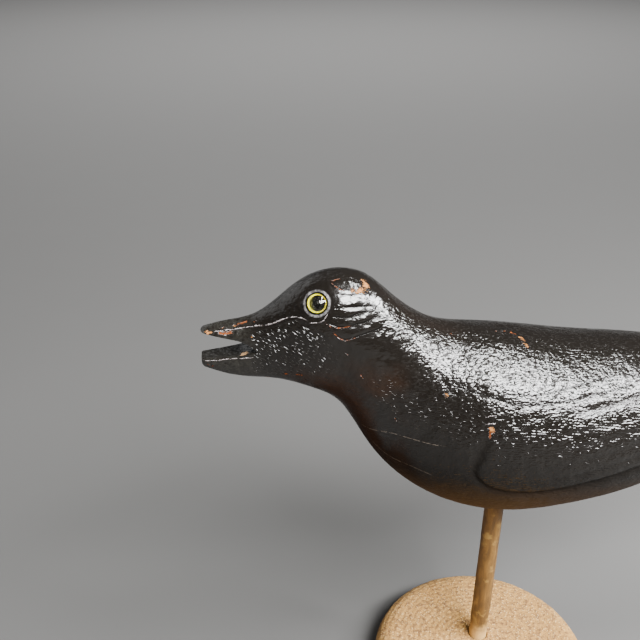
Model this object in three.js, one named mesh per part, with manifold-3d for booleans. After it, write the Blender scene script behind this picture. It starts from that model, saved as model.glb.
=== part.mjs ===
// A crow decoy: a carved and painted wooden crow with glass eyes, on a rod in a round base.
// Millimetres, +Z up. The beak points to -X, and the rod stands on the Z axis.
import * as THREE from "three";
import { mergeVertices } from "three/addons/utils/BufferGeometryUtils.js";
import Module from "manifold-3d";

const wasm = await Module();
wasm.setup();

// Driving sizes, in millimetres and degrees.
const CROW_LENGTH = 395; // beak tip to tail tip
const BEAK_TIP_ROUND = 2;
const TAIL_TIP_ROUND = 3;
const TAIL_BOW = 9; // how much longer the tail is in its middle than at its corners
const ROD_DIAMETER = 12;
const ROD_SHOWING = 118.6; // from the top of the base to the belly
const ROD_IN_CROW = 30;
const BASE_DIAMETER = 140;
const BASE_HEIGHT = 24;
const BASE_UNDER_ROD = 8; // what is left of the base below the rod
const BASE_EDGE_ROUND = 13;
const BASE_FOOT_ROUND = 3;
const ROD_BEHIND_MIDDLE = 9; // the rod is this far off the middle of the base
const EYE_DIAMETER = 11;
const EYE_DOME = 2.6; // height of the glass dome over its rim
const EYE_SEAT = 3; // depth of the glass below its rim
const EYE_RIM_SUNK = 1.1; // how far the rim lies below the skin at the eye's middle
const EYE_FORWARD = 16; // how far the eye looks forward of straight sideways
const EYE_UPWARD = 30;
const CLEARANCE = 0.3; // between pieces that touch

// The carved cuts: depth, width on the side toward the crown and on the side away from it, and
// the spacing of the sections that make them. The wing's second width goes with its outline.
const LID_CUT = { depth: 0.7, inner: 0.4, outer: 1.4, step: 8, looped: true };
const CHEEK_CUT = { depth: 0.8, inner: 0.5, outer: 3, step: 8 };
const EAR_CUT = { depth: 0.9, inner: 0.6, outer: 1.8, step: 8 };
const SHOULDER_CUT = { depth: 0.8, inner: 0.6, outer: 2, step: 18 };
const WING_CUT = { depth: 1.5, inner: 0.5, step: 16 };
const FEATHER_CUT = { depth: 0.9, inner: 0.5, outer: 2.6, step: 32 };
const TAIL_CUT = { depth: 0.9, inner: 0.5, outer: 2.6, step: 20 };
const UNDERTAIL_CUT = { depth: 0.9, inner: 0.6, outer: 0.6, step: 20 };
const CUTTER_RISE = 2; // how far a cutter stands out of the skin
const CUT_RUNS_OUT = 2; // sections over which an open cut fades out at its ends
const CUT_END_SIZE = 0.1; // what is left of the cut's size at its very end

// Fineness of the faceted solids.
const POINTS_AROUND = 24;
const ROUND_SIDES = 28;
const EYE_SIDES = 18;
const EYE_DOME_STEPS = 4;
const BASE_SIDES = 44;
const BASE_ROUNDING_STEPS = 3;

// The crow is a free form: its shape is in thousandths of its own length, x from the rod
// toward the tail and heights from the lowest point of the belly.
const BEAK_TIP = -440;
const TAIL_TIP = 560;
const share = (thousandths) => (CROW_LENGTH * thousandths) / (TAIL_TIP - BEAK_TIP);

// Sections: x, half width, height share of the widest line, squareness above and below it,
// top, underside.
const SECTIONS = [
  [BEAK_TIP, 13, 0.82, 1.8, 3, 307, 249],
  [-412, 16, 0.76, 1.75, 3.1, 315, 238],
  [-382, 19.5, 0.73, 1.85, 3, 320, 231],
  [-352, 26.5, 0.71, 2, 2.7, 333, 228],
  [-321, 38, 0.66, 2.1, 2.5, 358, 223],
  [-286, 50, 0.6, 2.3, 2.3, 378, 210],
  [-248, 56, 0.56, 2.3, 2.2, 385, 183],
  [-210, 63, 0.53, 2.2, 2.1, 372, 119],
  [-172, 74, 0.51, 2.1, 2, 339, 69],
  [-127, 92, 0.5, 2, 2, 308, 33],
  [-71, 113, 0.5, 2, 2, 294, 9],
  [0, 127, 0.5, 2, 2, 284, 0],
  [89, 128, 0.5, 2, 2, 271, 12],
  [190, 113, 0.51, 2, 2, 262, 36],
  [291, 89, 0.54, 2.1, 2, 245, 90],
  [392, 70, 0.62, 2.3, 2.1, 228, 143],
  [476, 65, 0.7, 2.5, 2.2, 212, 172],
  [TAIL_TIP, 70, 0.72, 2.6, 2.2, 197, 176],
];
const TAIL_START = 440; // where the rounding of the tail's end begins

// Zones of the loft: from x on, one section each so many thousandths.
const LOFT_ZONES = [
  [BEAK_TIP, 12],
  [-350, 12],
  [-170, 17],
  [-100, 33],
  [TAIL_TIP],
];
const ROUND_END_PARTS = [0.1, 0.35, 0.7]; // sections inside a rounded end, in parts of its radius

// The open mouth, seen from the side: its edges from the front to the corner, x and height.
const MOUTH_FRONT = -470;
const UPPER_LIP = [
  [MOUTH_FRONT, 310],
  [-436, 303],
  [-408, 297],
  [-389, 293],
  [-375, 287],
];
const MOUTH_CORNER = [-365, 277];
const LOWER_LIP = [
  [-388, 270],
  [-412, 267],
  [MOUTH_FRONT, 262],
];

// Lines carved on the left side: x and degrees down from the crown. The right side mirrors them.
const EYE_SPOT = [-287, 49];
const EYELID = [
  [-309, 44],
  [-298, 34],
  [-285, 30],
  [-273, 37],
  [-268, 49],
  [-275, 61],
  [-287, 67],
  [-300, 58],
];
const CHEEK_RIDGE = [
  [-424, 55],
  [-410, 52],
  [-396, 50],
  [-384, 47],
  [-372, 48],
  [-360, 53],
  [-345, 60],
  [-325, 60],
  [-313, 59],
];
const EAR_LINES = [
  [[-265, 57], [-246, 52], [-226, 44], [-205, 34]],
  [[-267, 66], [-257, 65], [-246, 62], [-235, 55], [-220, 46], [-207, 37]],
  [[-272, 74], [-260, 75], [-246, 71], [-235, 64], [-222, 56], [-210, 45], [-198, 32]],
  [[-263, 84], [-255, 85], [-243, 80], [-227, 69], [-212, 58], [-199, 46], [-190, 33]],
];
const SHOULDER_LINES = [
  [[-112, 52], [-67, 52], [-30, 54], [20, 52], [90, 45], [150, 40]],
  [[-44, 49], [-2, 48], [50, 42], [110, 34]],
];

// The folded wing: its front edge, then its two long edges, with the width of the hollow
// cut along each, in millimetres.
const WING_FRONT = [
  [-70, 65, 6],
  [-62, 73, 9],
  [-62, 82, 10.5],
  [-66, 91, 9],
  [-72, 100, 5],
];
const WING_LOWER = [
  [-62, 107, 3],
  [-30, 111, 4],
  [10, 110, 5],
  [80, 105, 6],
  [160, 99, 6],
  [250, 93, 6],
  [330, 87, 5],
  [400, 79, 3],
];
const WING_TIP = [445, 66, 1.5];
const WING_UPPER = [
  [400, 50, 3],
  [320, 42, 4],
  [220, 44, 4],
  [120, 52, 3],
  [20, 60, 2],
];
const FLIGHT_FEATHERS = 4;
const FEATHER_START = -46; // x where the first flight feather shows
const FEATHER_STAGGER = 14;
const LONGEST_FEATHER = 420; // x where feathers at the wing's upper and lower edge would end
const SHORTEST_FEATHER = 200;
const FEATHER_END = 0.9; // how far down the wing a feather's tip lies
const FEATHER_SWEEP = 90; // length over which a feather's edge curves down to its tip
const TAIL_FEATHER_TURNS = [0, 30, 58]; // degrees from the crown of the lines on the tail
const UNDERTAIL_TURNS = [180];
const TAIL_LINE_START = 455;
const TAIL_LINE_PAST = 4; // how far the lines run past the tail's end

// A natural cubic spline through the points, as a function of x.
function naturalSpline(xs, ys) {
  const last = xs.length - 1;
  const bend = new Array(xs.length).fill(0);
  const carry = new Array(xs.length).fill(0);
  for (let i = 1; i < last; i++) {
    const before = xs[i] - xs[i - 1];
    const after = xs[i + 1] - xs[i];
    const pivot = 2 * (before + after) - before * carry[i - 1];
    const turn = (ys[i + 1] - ys[i]) / after - (ys[i] - ys[i - 1]) / before;
    carry[i] = after / pivot;
    bend[i] = (6 * turn - before * bend[i - 1]) / pivot;
  }
  for (let i = last - 1; i > 0; i--) bend[i] -= carry[i] * bend[i + 1];
  return (x) => {
    let i = 0;
    while (i < last - 1 && x > xs[i + 1]) i++;
    const span = xs[i + 1] - xs[i];
    const a = (xs[i + 1] - x) / span;
    const b = 1 - a;
    const curve = (a ** 3 - a) * bend[i] + (b ** 3 - b) * bend[i + 1];
    return a * ys[i] + b * ys[i + 1] + (curve * span ** 2) / 6;
  };
}

const splineThrough = (rows, column) =>
  naturalSpline(
    rows.map((row) => row[0]),
    rows.map((row) => row[column]),
  );

const halfWidth = splineThrough(SECTIONS, 1);
const sideShare = splineThrough(SECTIONS, 2);
const squareAbove = splineThrough(SECTIONS, 3);
const squareBelow = splineThrough(SECTIONS, 4);
const topHeight = splineThrough(SECTIONS, 5);
const lowHeight = splineThrough(SECTIONS, 6);

// How far a rounded end draws the skin in, at a distance from that end.
function roundingInset(distance, radius) {
  const short = Math.max(0, radius - Math.max(0, distance));
  return radius - Math.sqrt(radius ** 2 - short ** 2);
}

const signedPower = (value, power) => Math.sign(value) * Math.abs(value) ** power;

// The point of the skin at x, so many degrees down from the crown: positive on the left side,
// negative on the right. A section is half a superellipse above its widest line and half below.
function skinPoint(x, turn) {
  const inset =
    roundingInset(share(x - BEAK_TIP), BEAK_TIP_ROUND) +
    roundingInset(share(TAIL_TIP - x), TAIL_TIP_ROUND);
  const angle = THREE.MathUtils.degToRad(turn);
  const above = Math.cos(angle) > 0;
  const half = share(halfWidth(x)) - inset;
  const top = share(topHeight(x)) - inset;
  const low = share(lowHeight(x)) + inset;
  const side = low + (top - low) * sideShare(x);
  const power = 2 / (above ? squareAbove(x) : squareBelow(x));
  const out = signedPower(Math.sin(angle), power);
  const up = signedPower(Math.cos(angle), power);
  const tail = Math.max(0, (x - TAIL_START) / (TAIL_TIP - TAIL_START));
  return new THREE.Vector3(
    share(x) - TAIL_BOW * tail ** 2 * out ** 2,
    -half * out,
    side + (above ? top - side : side - low) * up,
  );
}

// The steps of the skin for one thousandth along the crow and one degree down.
function skinSteps(x, turn) {
  return {
    along: skinPoint(x + 0.5, turn).sub(skinPoint(x - 0.5, turn)),
    down: skinPoint(x, turn + 0.5).sub(skinPoint(x, turn - 0.5)),
  };
}

function skinNormal(x, turn) {
  const { along, down } = skinSteps(x, turn);
  return down.cross(along).normalize();
}

// The skin point reached from x, turn by a short move in space.
function slideOnSkin(x, turn, move) {
  const { along, down } = skinSteps(x, turn);
  const newX = x + move.dot(along) / along.lengthSq();
  return skinPoint(newX, turn + move.dot(down) / down.lengthSq());
}

// A closed surface through rings of points, capped at both ends or joined into a loop.
function loft(rings, looped) {
  const count = rings[0].length;
  const positions = rings.flat().flatMap((p) => [p.x, p.y, p.z]);
  const index = [];
  const pairs = looped ? rings.length : rings.length - 1;
  for (let i = 0; i < pairs; i++) {
    const here = i * count;
    const next = ((i + 1) % rings.length) * count;
    for (let j = 0; j < count; j++) {
      const k = (j + 1) % count;
      index.push(here + j, here + k, next + j, next + j, here + k, next + k);
    }
  }
  const cap = (ring, start, reversed) => {
    const middle = ring.reduce((sum, p) => sum.add(p), new THREE.Vector3());
    middle.divideScalar(count);
    const centre = positions.length / 3;
    positions.push(middle.x, middle.y, middle.z);
    for (let j = 0; j < count; j++) {
      const k = (j + 1) % count;
      if (reversed) index.push(centre, start + j, start + k);
      else index.push(centre, start + k, start + j);
    }
  };
  if (!looped) {
    cap(rings[0], 0, false);
    cap(rings.at(-1), (rings.length - 1) * count, true);
  }
  const geometry = new THREE.BufferGeometry();
  geometry.setAttribute("position", new THREE.Float32BufferAttribute(positions, 3));
  geometry.setIndex(index);
  return geometry;
}

// A closed geometry as a solid, with its faces turned outward.
function solidOf(geometry) {
  const bare = geometry.clone();
  bare.deleteAttribute("normal");
  bare.deleteAttribute("uv");
  const merged = mergeVertices(bare, 1e-4);
  const vertProperties = merged.attributes.position.array;
  const triVerts = Uint32Array.from(merged.index.array);
  const build = () => new wasm.Manifold(new wasm.Mesh({ numProp: 3, vertProperties, triVerts }));
  const solid = build();
  if (solid.volume() >= 0) return solid;
  for (let i = 0; i < triVerts.length; i += 3) {
    [triVerts[i + 1], triVerts[i + 2]] = [triVerts[i + 2], triVerts[i + 1]];
  }
  return build();
}

function geometryOf(solid) {
  const mesh = solid.getMesh();
  const geometry = new THREE.BufferGeometry();
  geometry.setAttribute("position", new THREE.BufferAttribute(mesh.vertProperties, 3));
  geometry.setIndex(new THREE.BufferAttribute(mesh.triVerts, 1));
  geometry.computeVertexNormals();
  return geometry;
}

// The cutter for one carved line: a V along the skin that reaches out to a width on its
// inner (upper) and outer (lower) side and fades out at open ends.
function carvingCutter(line, cut, mirror) {
  const places = line.map(
    ([x, turn, outer]) => new THREE.Vector3(x, mirror * turn, outer ?? cut.outer),
  );
  const path = new THREE.CatmullRomCurve3(places, cut.looped);
  const trace = path.getPoints(4 * places.length).map((p) => skinPoint(p.x, p.y));
  const length = trace.slice(1).reduce((sum, p, i) => sum + p.distanceTo(trace[i]), 0);
  const steps = Math.max(4, Math.round(length / cut.step));
  const stops = path.getSpacedPoints(steps);
  if (cut.looped) stops.pop();
  const last = stops.length - 1;
  const skin = stops.map((p) => skinPoint(p.x, p.y));
  const rings = stops.map((place, i) => {
    const before = cut.looped ? skin.at(i - 1) : skin[Math.max(0, i - 1)];
    const after = cut.looped ? skin[(i + 1) % skin.length] : skin[Math.min(last, i + 1)];
    const ahead = after.clone().sub(before).normalize();
    const normal = skinNormal(place.x, place.y);
    const inward = normal.clone().cross(ahead).normalize().multiplyScalar(mirror);
    const fromEnd = Math.min(i, last - i) / CUT_RUNS_OUT;
    const fade = cut.looped ? 1 : Math.min(1, fromEnd + CUT_END_SIZE);
    const aside = (width) =>
      slideOnSkin(place.x, place.y, inward.clone().multiplyScalar(width * fade));
    const raised = (point) => point.clone().addScaledVector(normal, CUTTER_RISE);
    const innerEdge = aside(cut.inner);
    const outerEdge = aside(-place.z);
    const bottom = skin[i].clone().addScaledVector(normal, -cut.depth * fade);
    return [raised(innerEdge), raised(skin[i]), raised(outerEdge), outerEdge, bottom, innerEdge];
  });
  return solidOf(loft(rings, cut.looped));
}

// Flight feathers: each edge runs between the wing's two long edges and curves down to the
// lower one at its tip, the lowest feather ending first.
function flightFeatherLines() {
  const upper = splineThrough([WING_FRONT[0], ...WING_UPPER.toReversed(), WING_TIP], 1);
  const lower = splineThrough([WING_FRONT.at(-1), ...WING_LOWER, WING_TIP], 1);
  const points = 8;
  return Array.from({ length: FLIGHT_FEATHERS }, (_, k) => {
    const level = (k + 1) / (FLIGHT_FEATHERS + 1);
    const start = FEATHER_START + FEATHER_STAGGER * Math.abs(k - 1);
    const end = THREE.MathUtils.lerp(LONGEST_FEATHER, SHORTEST_FEATHER, level);
    return Array.from({ length: points }, (_, i) => {
      const x = THREE.MathUtils.lerp(start, end, i / (points - 1));
      const sweep = Math.max(0, 1 - (end - x) / FEATHER_SWEEP) ** 2;
      const across = THREE.MathUtils.lerp(level, FEATHER_END, sweep);
      return [x, THREE.MathUtils.lerp(upper(x), lower(x), across)];
    });
  });
}

function tailLines(turns) {
  return turns.map((turn) => [
    [TAIL_LINE_START, turn],
    [(TAIL_LINE_START + TAIL_TIP) / 2, turn],
    [TAIL_TIP + TAIL_LINE_PAST, turn],
  ]);
}

function carvingCutters() {
  const kinds = [
    [LID_CUT, [EYELID]],
    [CHEEK_CUT, [CHEEK_RIDGE]],
    [EAR_CUT, EAR_LINES],
    [SHOULDER_CUT, SHOULDER_LINES],
    [WING_CUT, [[...WING_FRONT, ...WING_LOWER, WING_TIP], [WING_TIP, ...WING_UPPER]]],
    [FEATHER_CUT, flightFeatherLines()],
    [TAIL_CUT, tailLines(TAIL_FEATHER_TURNS)],
    [UNDERTAIL_CUT, tailLines(UNDERTAIL_TURNS)],
  ];
  return kinds.flatMap(([cut, lines]) =>
    lines.flatMap((line) => {
      const onMiddle = line[0][1] % 180 === 0;
      return (onMiddle ? [1] : [1, -1]).map((mirror) => carvingCutter(line, cut, mirror));
    }),
  );
}

// Where an eye sits: its own +Z looks out of the head, and its rim lies in its XY plane.
function eyePlace(mirror) {
  const [x, turn] = EYE_SPOT;
  const forward = THREE.MathUtils.degToRad(EYE_FORWARD);
  const upward = THREE.MathUtils.degToRad(EYE_UPWARD);
  const look = new THREE.Vector3(
    -Math.sin(forward) * Math.cos(upward),
    -mirror * Math.cos(forward) * Math.cos(upward),
    Math.sin(upward),
  );
  const turned = new THREE.Quaternion().setFromUnitVectors(new THREE.Vector3(0, 0, 1), look);
  const middle = skinPoint(x, mirror * turn).addScaledVector(look, -EYE_RIM_SUNK);
  return { middle, turned };
}

// The x places of the loft's sections: evenly in each zone, and closer where an end is rounded.
function stations() {
  const places = [BEAK_TIP];
  for (let i = 0; i < LOFT_ZONES.length - 1; i++) {
    const [from, spacing] = LOFT_ZONES[i];
    const to = LOFT_ZONES[i + 1][0];
    const steps = Math.round((to - from) / spacing);
    for (let k = 1; k <= steps; k++) places.push(from + ((to - from) * k) / steps);
  }
  for (const part of ROUND_END_PARTS) {
    places.push(BEAK_TIP + (part * BEAK_TIP_ROUND) / share(1));
    places.push(TAIL_TIP - (part * TAIL_TIP_ROUND) / share(1));
  }
  return places.sort((a, b) => a - b);
}

function crowBlank() {
  const turns = Array.from({ length: POINTS_AROUND }, (_, j) => (360 * j) / POINTS_AROUND);
  const rings = stations().map((x) => turns.map((turn) => skinPoint(x, turn)));
  return solidOf(loft(rings, false));
}

function mouthCutter() {
  const outline = [...UPPER_LIP, MOUTH_CORNER, ...LOWER_LIP];
  const shape = new THREE.Shape(outline.map(([x, z]) => new THREE.Vector2(share(x), share(z))));
  const width = 4 * share(halfWidth(MOUTH_CORNER[0]));
  const geometry = new THREE.ExtrudeGeometry(shape, { depth: width, bevelEnabled: false });
  geometry.rotateX(Math.PI / 2).translate(0, width / 2, 0);
  return solidOf(geometry);
}

function uprightCylinder(radius, from, to, sides) {
  const geometry = new THREE.CylinderGeometry(radius, radius, to - from, sides);
  return geometry.rotateX(Math.PI / 2).translate(0, 0, (from + to) / 2);
}

const holeRadius = ROD_DIAMETER / 2 + CLEARANCE;

function eyeSocketCutter(mirror) {
  const { middle, turned } = eyePlace(mirror);
  const radius = EYE_DIAMETER / 2 + CLEARANCE;
  const socket = uprightCylinder(radius, -EYE_SEAT - CLEARANCE, EYE_DOME, EYE_SIDES);
  return solidOf(socket.applyQuaternion(turned).translate(middle.x, middle.y, middle.z));
}

function carvedCrow() {
  const bottom = share(lowHeight(0));
  const top = bottom + ROD_IN_CROW + CLEARANCE;
  const bore = uprightCylinder(holeRadius, bottom - ROD_DIAMETER, top, ROUND_SIDES);
  const cutters = [
    ...carvingCutters(),
    mouthCutter(),
    eyeSocketCutter(1),
    eyeSocketCutter(-1),
    solidOf(bore),
  ];
  const carved = cutters.reduce((solid, cutter) => solid.subtract(cutter), crowBlank());
  const paint = new THREE.MeshStandardMaterial({ color: 0x1a1512, roughness: 0.3, metalness: 0 });
  const mesh = new THREE.Mesh(geometryOf(carved), paint);
  mesh.name = "carved_crow";
  return mesh;
}

// A glass eye: a dome over a short round seat with a flat back.
function glassEye(name, mirror) {
  const radius = EYE_DIAMETER / 2;
  const ball = (radius ** 2 + EYE_DOME ** 2) / (2 * EYE_DOME);
  const reach = Math.asin(radius / ball);
  const profile = [new THREE.Vector2(0, -EYE_SEAT), new THREE.Vector2(radius, -EYE_SEAT)];
  for (let i = 0; i <= EYE_DOME_STEPS; i++) {
    const angle = reach * (1 - i / EYE_DOME_STEPS);
    const height = EYE_DOME - ball * (1 - Math.cos(angle));
    profile.push(new THREE.Vector2(i < EYE_DOME_STEPS ? ball * Math.sin(angle) : 0, height));
  }
  const geometry = new THREE.LatheGeometry(profile, EYE_SIDES).rotateX(Math.PI / 2);
  const glass = new THREE.MeshStandardMaterial({ color: 0xd9c92f, roughness: 0.05, metalness: 0 });
  const mesh = new THREE.Mesh(geometryOf(solidOf(geometry)), glass);
  const { middle, turned } = eyePlace(mirror);
  mesh.position.copy(middle);
  mesh.quaternion.copy(turned);
  mesh.name = name;
  return mesh;
}

function standRod() {
  const length = BASE_HEIGHT - BASE_UNDER_ROD + ROD_SHOWING + ROD_IN_CROW;
  const geometry = uprightCylinder(ROD_DIAMETER / 2, 0, length, ROUND_SIDES);
  const wood = new THREE.MeshStandardMaterial({ color: 0x7a6341, roughness: 0.5, metalness: 0 });
  const mesh = new THREE.Mesh(geometry, wood);
  mesh.position.z = BASE_UNDER_ROD;
  mesh.name = "stand_rod";
  return mesh;
}

// A round slab with a broad rounded upper edge, a small one below, and a blind hole for the rod.
function roundBase() {
  const radius = BASE_DIAMETER / 2;
  const foot = BASE_FOOT_ROUND;
  const edge = Math.min(BASE_EDGE_ROUND, BASE_HEIGHT - foot);
  const profile = new THREE.Path();
  profile.moveTo(0, 0);
  profile.lineTo(radius - foot, 0);
  profile.absarc(radius - foot, foot, foot, -Math.PI / 2, 0);
  profile.absarc(radius - edge, BASE_HEIGHT - edge, edge, 0, Math.PI / 2);
  profile.lineTo(0, BASE_HEIGHT);
  const outline = profile.getPoints(BASE_ROUNDING_STEPS);
  const slab = new THREE.LatheGeometry(outline, BASE_SIDES).rotateX(Math.PI / 2);
  const floor = BASE_UNDER_ROD - CLEARANCE;
  const hole = uprightCylinder(holeRadius, floor, BASE_HEIGHT + ROD_DIAMETER, ROUND_SIDES);
  hole.translate(0, ROD_BEHIND_MIDDLE, 0);
  const sand = new THREE.MeshStandardMaterial({ color: 0xcdb898, roughness: 0.95, metalness: 0 });
  const mesh = new THREE.Mesh(geometryOf(solidOf(slab).subtract(solidOf(hole))), sand);
  mesh.position.y = -ROD_BEHIND_MIDDLE;
  mesh.name = "round_base";
  return mesh;
}

const crow = new THREE.Group();
crow.add(carvedCrow(), glassEye("left_eye", 1), glassEye("right_eye", -1));
crow.position.z = BASE_HEIGHT + ROD_SHOWING;

const group = new THREE.Group();
group.add(roundBase(), standRod(), crow);

export default group;
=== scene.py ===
import bpy
import numpy as np
from mathutils import Matrix, Vector


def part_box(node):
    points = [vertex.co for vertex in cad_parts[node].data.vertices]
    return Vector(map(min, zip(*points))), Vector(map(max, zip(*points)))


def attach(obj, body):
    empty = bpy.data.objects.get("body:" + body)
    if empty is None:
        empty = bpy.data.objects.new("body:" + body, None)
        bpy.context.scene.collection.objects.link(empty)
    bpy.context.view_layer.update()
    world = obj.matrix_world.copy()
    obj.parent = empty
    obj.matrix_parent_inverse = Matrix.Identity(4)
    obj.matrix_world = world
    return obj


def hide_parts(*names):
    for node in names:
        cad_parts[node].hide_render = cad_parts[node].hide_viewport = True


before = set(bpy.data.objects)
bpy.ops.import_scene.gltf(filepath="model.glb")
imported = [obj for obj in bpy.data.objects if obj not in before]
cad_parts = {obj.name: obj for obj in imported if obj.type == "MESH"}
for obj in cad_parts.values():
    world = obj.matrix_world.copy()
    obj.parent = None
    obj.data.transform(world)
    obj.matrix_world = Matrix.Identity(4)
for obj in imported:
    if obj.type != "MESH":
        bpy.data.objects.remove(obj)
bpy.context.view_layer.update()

MM = 0.001
crow_low, crow_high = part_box("carved_crow")
rod_low, rod_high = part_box("stand_rod")
base_low, base_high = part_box("round_base")

CROW_LENGTH = crow_high.x - crow_low.x
ROD_RADIUS = (rod_high.x - rod_low.x) / 2
ROD_IN_CROW = 30 * MM
BELLY_LEVEL = rod_high.z - ROD_IN_CROW
BASE_HEIGHT = base_high.z
BASE_RADIUS = (base_high.x - base_low.x) / 2
BASE_MIDDLE_Y = (base_high.y + base_low.y) / 2
CLEARANCE = 0.3 * MM

# The crow's own measure: x and heights in thousandths of its length, x from the rod toward the
# tail, heights from the lowest point of the belly; turns in degrees down from the crown.
SHARE = CROW_LENGTH / 1000
BEAK_TIP = -440
TAIL_TIP = 560
BEAK_TIP_ROUND = 2 * MM
TAIL_TIP_ROUND = 3 * MM
TAIL_BOW = 9 * MM
TAIL_START = 440

# Sections: x, half width, height share of the widest line, squareness above and below it,
# top, underside.
SECTIONS = np.array([
    [BEAK_TIP, 13, 0.82, 1.8, 3, 307, 249],
    [-412, 16, 0.76, 1.75, 3.1, 315, 238],
    [-382, 19.5, 0.73, 1.85, 3, 320, 231],
    [-352, 26.5, 0.71, 2, 2.7, 333, 228],
    [-321, 38, 0.66, 2.1, 2.5, 358, 223],
    [-286, 50, 0.6, 2.3, 2.3, 378, 210],
    [-248, 56, 0.56, 2.3, 2.2, 385, 183],
    [-210, 63, 0.53, 2.2, 2.1, 372, 119],
    [-172, 74, 0.51, 2.1, 2, 339, 69],
    [-127, 92, 0.5, 2, 2, 308, 33],
    [-71, 113, 0.5, 2, 2, 294, 9],
    [0, 127, 0.5, 2, 2, 284, 0],
    [89, 128, 0.5, 2, 2, 271, 12],
    [190, 113, 0.51, 2, 2, 262, 36],
    [291, 89, 0.54, 2.1, 2, 245, 90],
    [392, 70, 0.62, 2.3, 2.1, 228, 143],
    [476, 65, 0.7, 2.5, 2.2, 212, 172],
    [TAIL_TIP, 70, 0.72, 2.6, 2.2, 197, 176],
])

# Where the skin's rows lie: from x on, one row each so many millimetres, finest on the head.
ROW_ZONES = [(BEAK_TIP, 0.5), (-240, 0.8), (-190, 1.2), (26, 3.0), (TAIL_TIP, None)]
COLUMNS_DOWN = 138  # from the crown to the belly, on each side

# The open mouth, seen from the side: x and height of its edges.
MOUTH_FRONT = -470
UPPER_LIP = [(MOUTH_FRONT, 310), (-436, 303), (-408, 297), (-389, 293), (-375, 287)]
MOUTH_CORNER = (-365, 277)
LOWER_LIP = [(MOUTH_FRONT, 262), (-412, 267), (-388, 270)]
UPPER_LIP_ROUND = 0.3 * MM
LOWER_LIP_ROUND = 0.7 * MM
MOUTH_TROUGH = 0.4 * MM

# Lines carved on each side: x and turn, and for the wing the width of the hollow cut along it.
EYE_SPOT = (-287, 49)
EYELID = [(-309, 44), (-298, 34), (-285, 30), (-273, 37), (-268, 49), (-275, 61), (-287, 67),
          (-300, 58)]
CHEEK_RIDGE = [(-432, 57), (-424, 55), (-410, 52), (-396, 50), (-384, 47), (-372, 48), (-360, 53),
               (-345, 60), (-325, 60), (-313, 59)]
EAR_LINES = [
    [(-265, 57), (-246, 52), (-226, 44), (-205, 34)],
    [(-267, 66), (-257, 65), (-246, 62), (-235, 55), (-220, 46), (-207, 37)],
    [(-272, 74), (-260, 75), (-246, 71), (-235, 64), (-222, 56), (-210, 45), (-198, 32)],
    [(-263, 84), (-255, 85), (-243, 80), (-227, 69), (-212, 58), (-199, 46), (-190, 33)],
]
CROWN_FACET = [(-268, 17), (-252, 16), (-227, 10), (-214, 7), (-213, 18), (-225, 29), (-242, 36),
               (-257, 36), (-267, 28)]
SHOULDER_LINES = [
    [(-112, 52), (-67, 52), (-30, 54), (20, 52), (90, 45), (150, 40)],
    [(-44, 49), (-2, 48), (50, 42), (110, 34)],
]
WING_FRONT = [(-70, 65, 6), (-62, 73, 9), (-62, 82, 10.5), (-66, 91, 9), (-72, 100, 5)]
WING_LOWER = [(-62, 107, 3), (-30, 111, 4), (10, 110, 5), (80, 105, 6), (160, 99, 6), (250, 93, 6),
              (330, 87, 5), (400, 79, 3)]
WING_TIP = (445, 66, 1.5)
WING_UPPER = [(400, 50, 3), (320, 42, 4), (220, 44, 4), (120, 52, 3), (20, 60, 2)]
WING_BEGINS = (-64, -50)  # the x over which its barbs set in and end
WING_ENDS = (400, 440)
FLIGHT_FEATHERS = 4
FEATHER_START = -46
FEATHER_STAGGER = 14
LONGEST_FEATHER = 420
SHORTEST_FEATHER = 200
FEATHER_END = 0.9
FEATHER_SWEEP = 90
TAIL_FEATHER_TURNS = (0, 30, 58)
UNDERTAIL_TURN = 180
TAIL_LINE_START = 455
TAIL_LINE_END = 564
BREAST_FLUTES = [
    [(-124, 67), (-132, 80), (-145, 97), (-159, 108)],
    [(-105, 69), (-112, 82), (-122, 94), (-132, 103)],
    [(-140, 62), (-152, 76), (-168, 92)],
]

# Thin raised ridges: along the cheek ridge and under the eye, and a second crest below it.
BEADS = [
    [(-434, 56), (-424, 54), (-410, 51), (-396, 49), (-384, 46), (-372, 47), (-360, 52),
     (-345, 59), (-325, 59), (-309, 64), (-297, 71), (-284, 72), (-278, 69), (-272, 61)],
    [(-392, 52), (-382, 51), (-370, 53), (-358, 58), (-343, 65), (-325, 65), (-311, 69)],
]

# The carved cuts: depth, width on the side toward the crown and on the side away from it, and the
# length over which an open one fades out, in millimetres. A bead is raised: its depth is negative.
LID_CUT = (0.7, 0.4, 1.4, 0)
FACET_CUT = (0.35, 0.8, 0.5, 0)
CHEEK_CUT = (0.6, 0.5, 3, 16)
EAR_CUT = (1.05, 0.5, 3.6, 14)
SHOULDER_CUT = (0.8, 0.6, 2, 30)
WING_CUT = (1.5, 0.5, None, 26)
FEATHER_CUT = (0.9, 0.6, 2.6, 40)
TAIL_CUT = (0.9, 0.6, 2.6, 30)
UNDERTAIL_CUT = (0.9, 0.6, 0.6, 30)
FLUTE_CUT = (0.45, 3, 4, 14)
BEAD = (-0.32, 0.7, 0.7, 6)
LINE_SPACING = 0.35 * MM  # between the samples of a carved line
BLOCK_SIZE = 3000  # how many points are measured against them at a time

EYE_DOME = 2.6 * MM
EYE_SEAT = 3 * MM
EYE_RIM_SUNK = 1.1 * MM
EYE_FORWARD = 16
EYE_UPWARD = 30
EYE_RADIUS = 5.5 * MM
PUPIL_ASIDE = 0.32 * MM  # how far the pupil lies off the middle, toward the tail
IRIS_RADIUS = 5.15 * MM
IRIS_LEVEL = -0.1 * MM
IRIS_HOLLOW = 0.4 * MM

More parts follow.
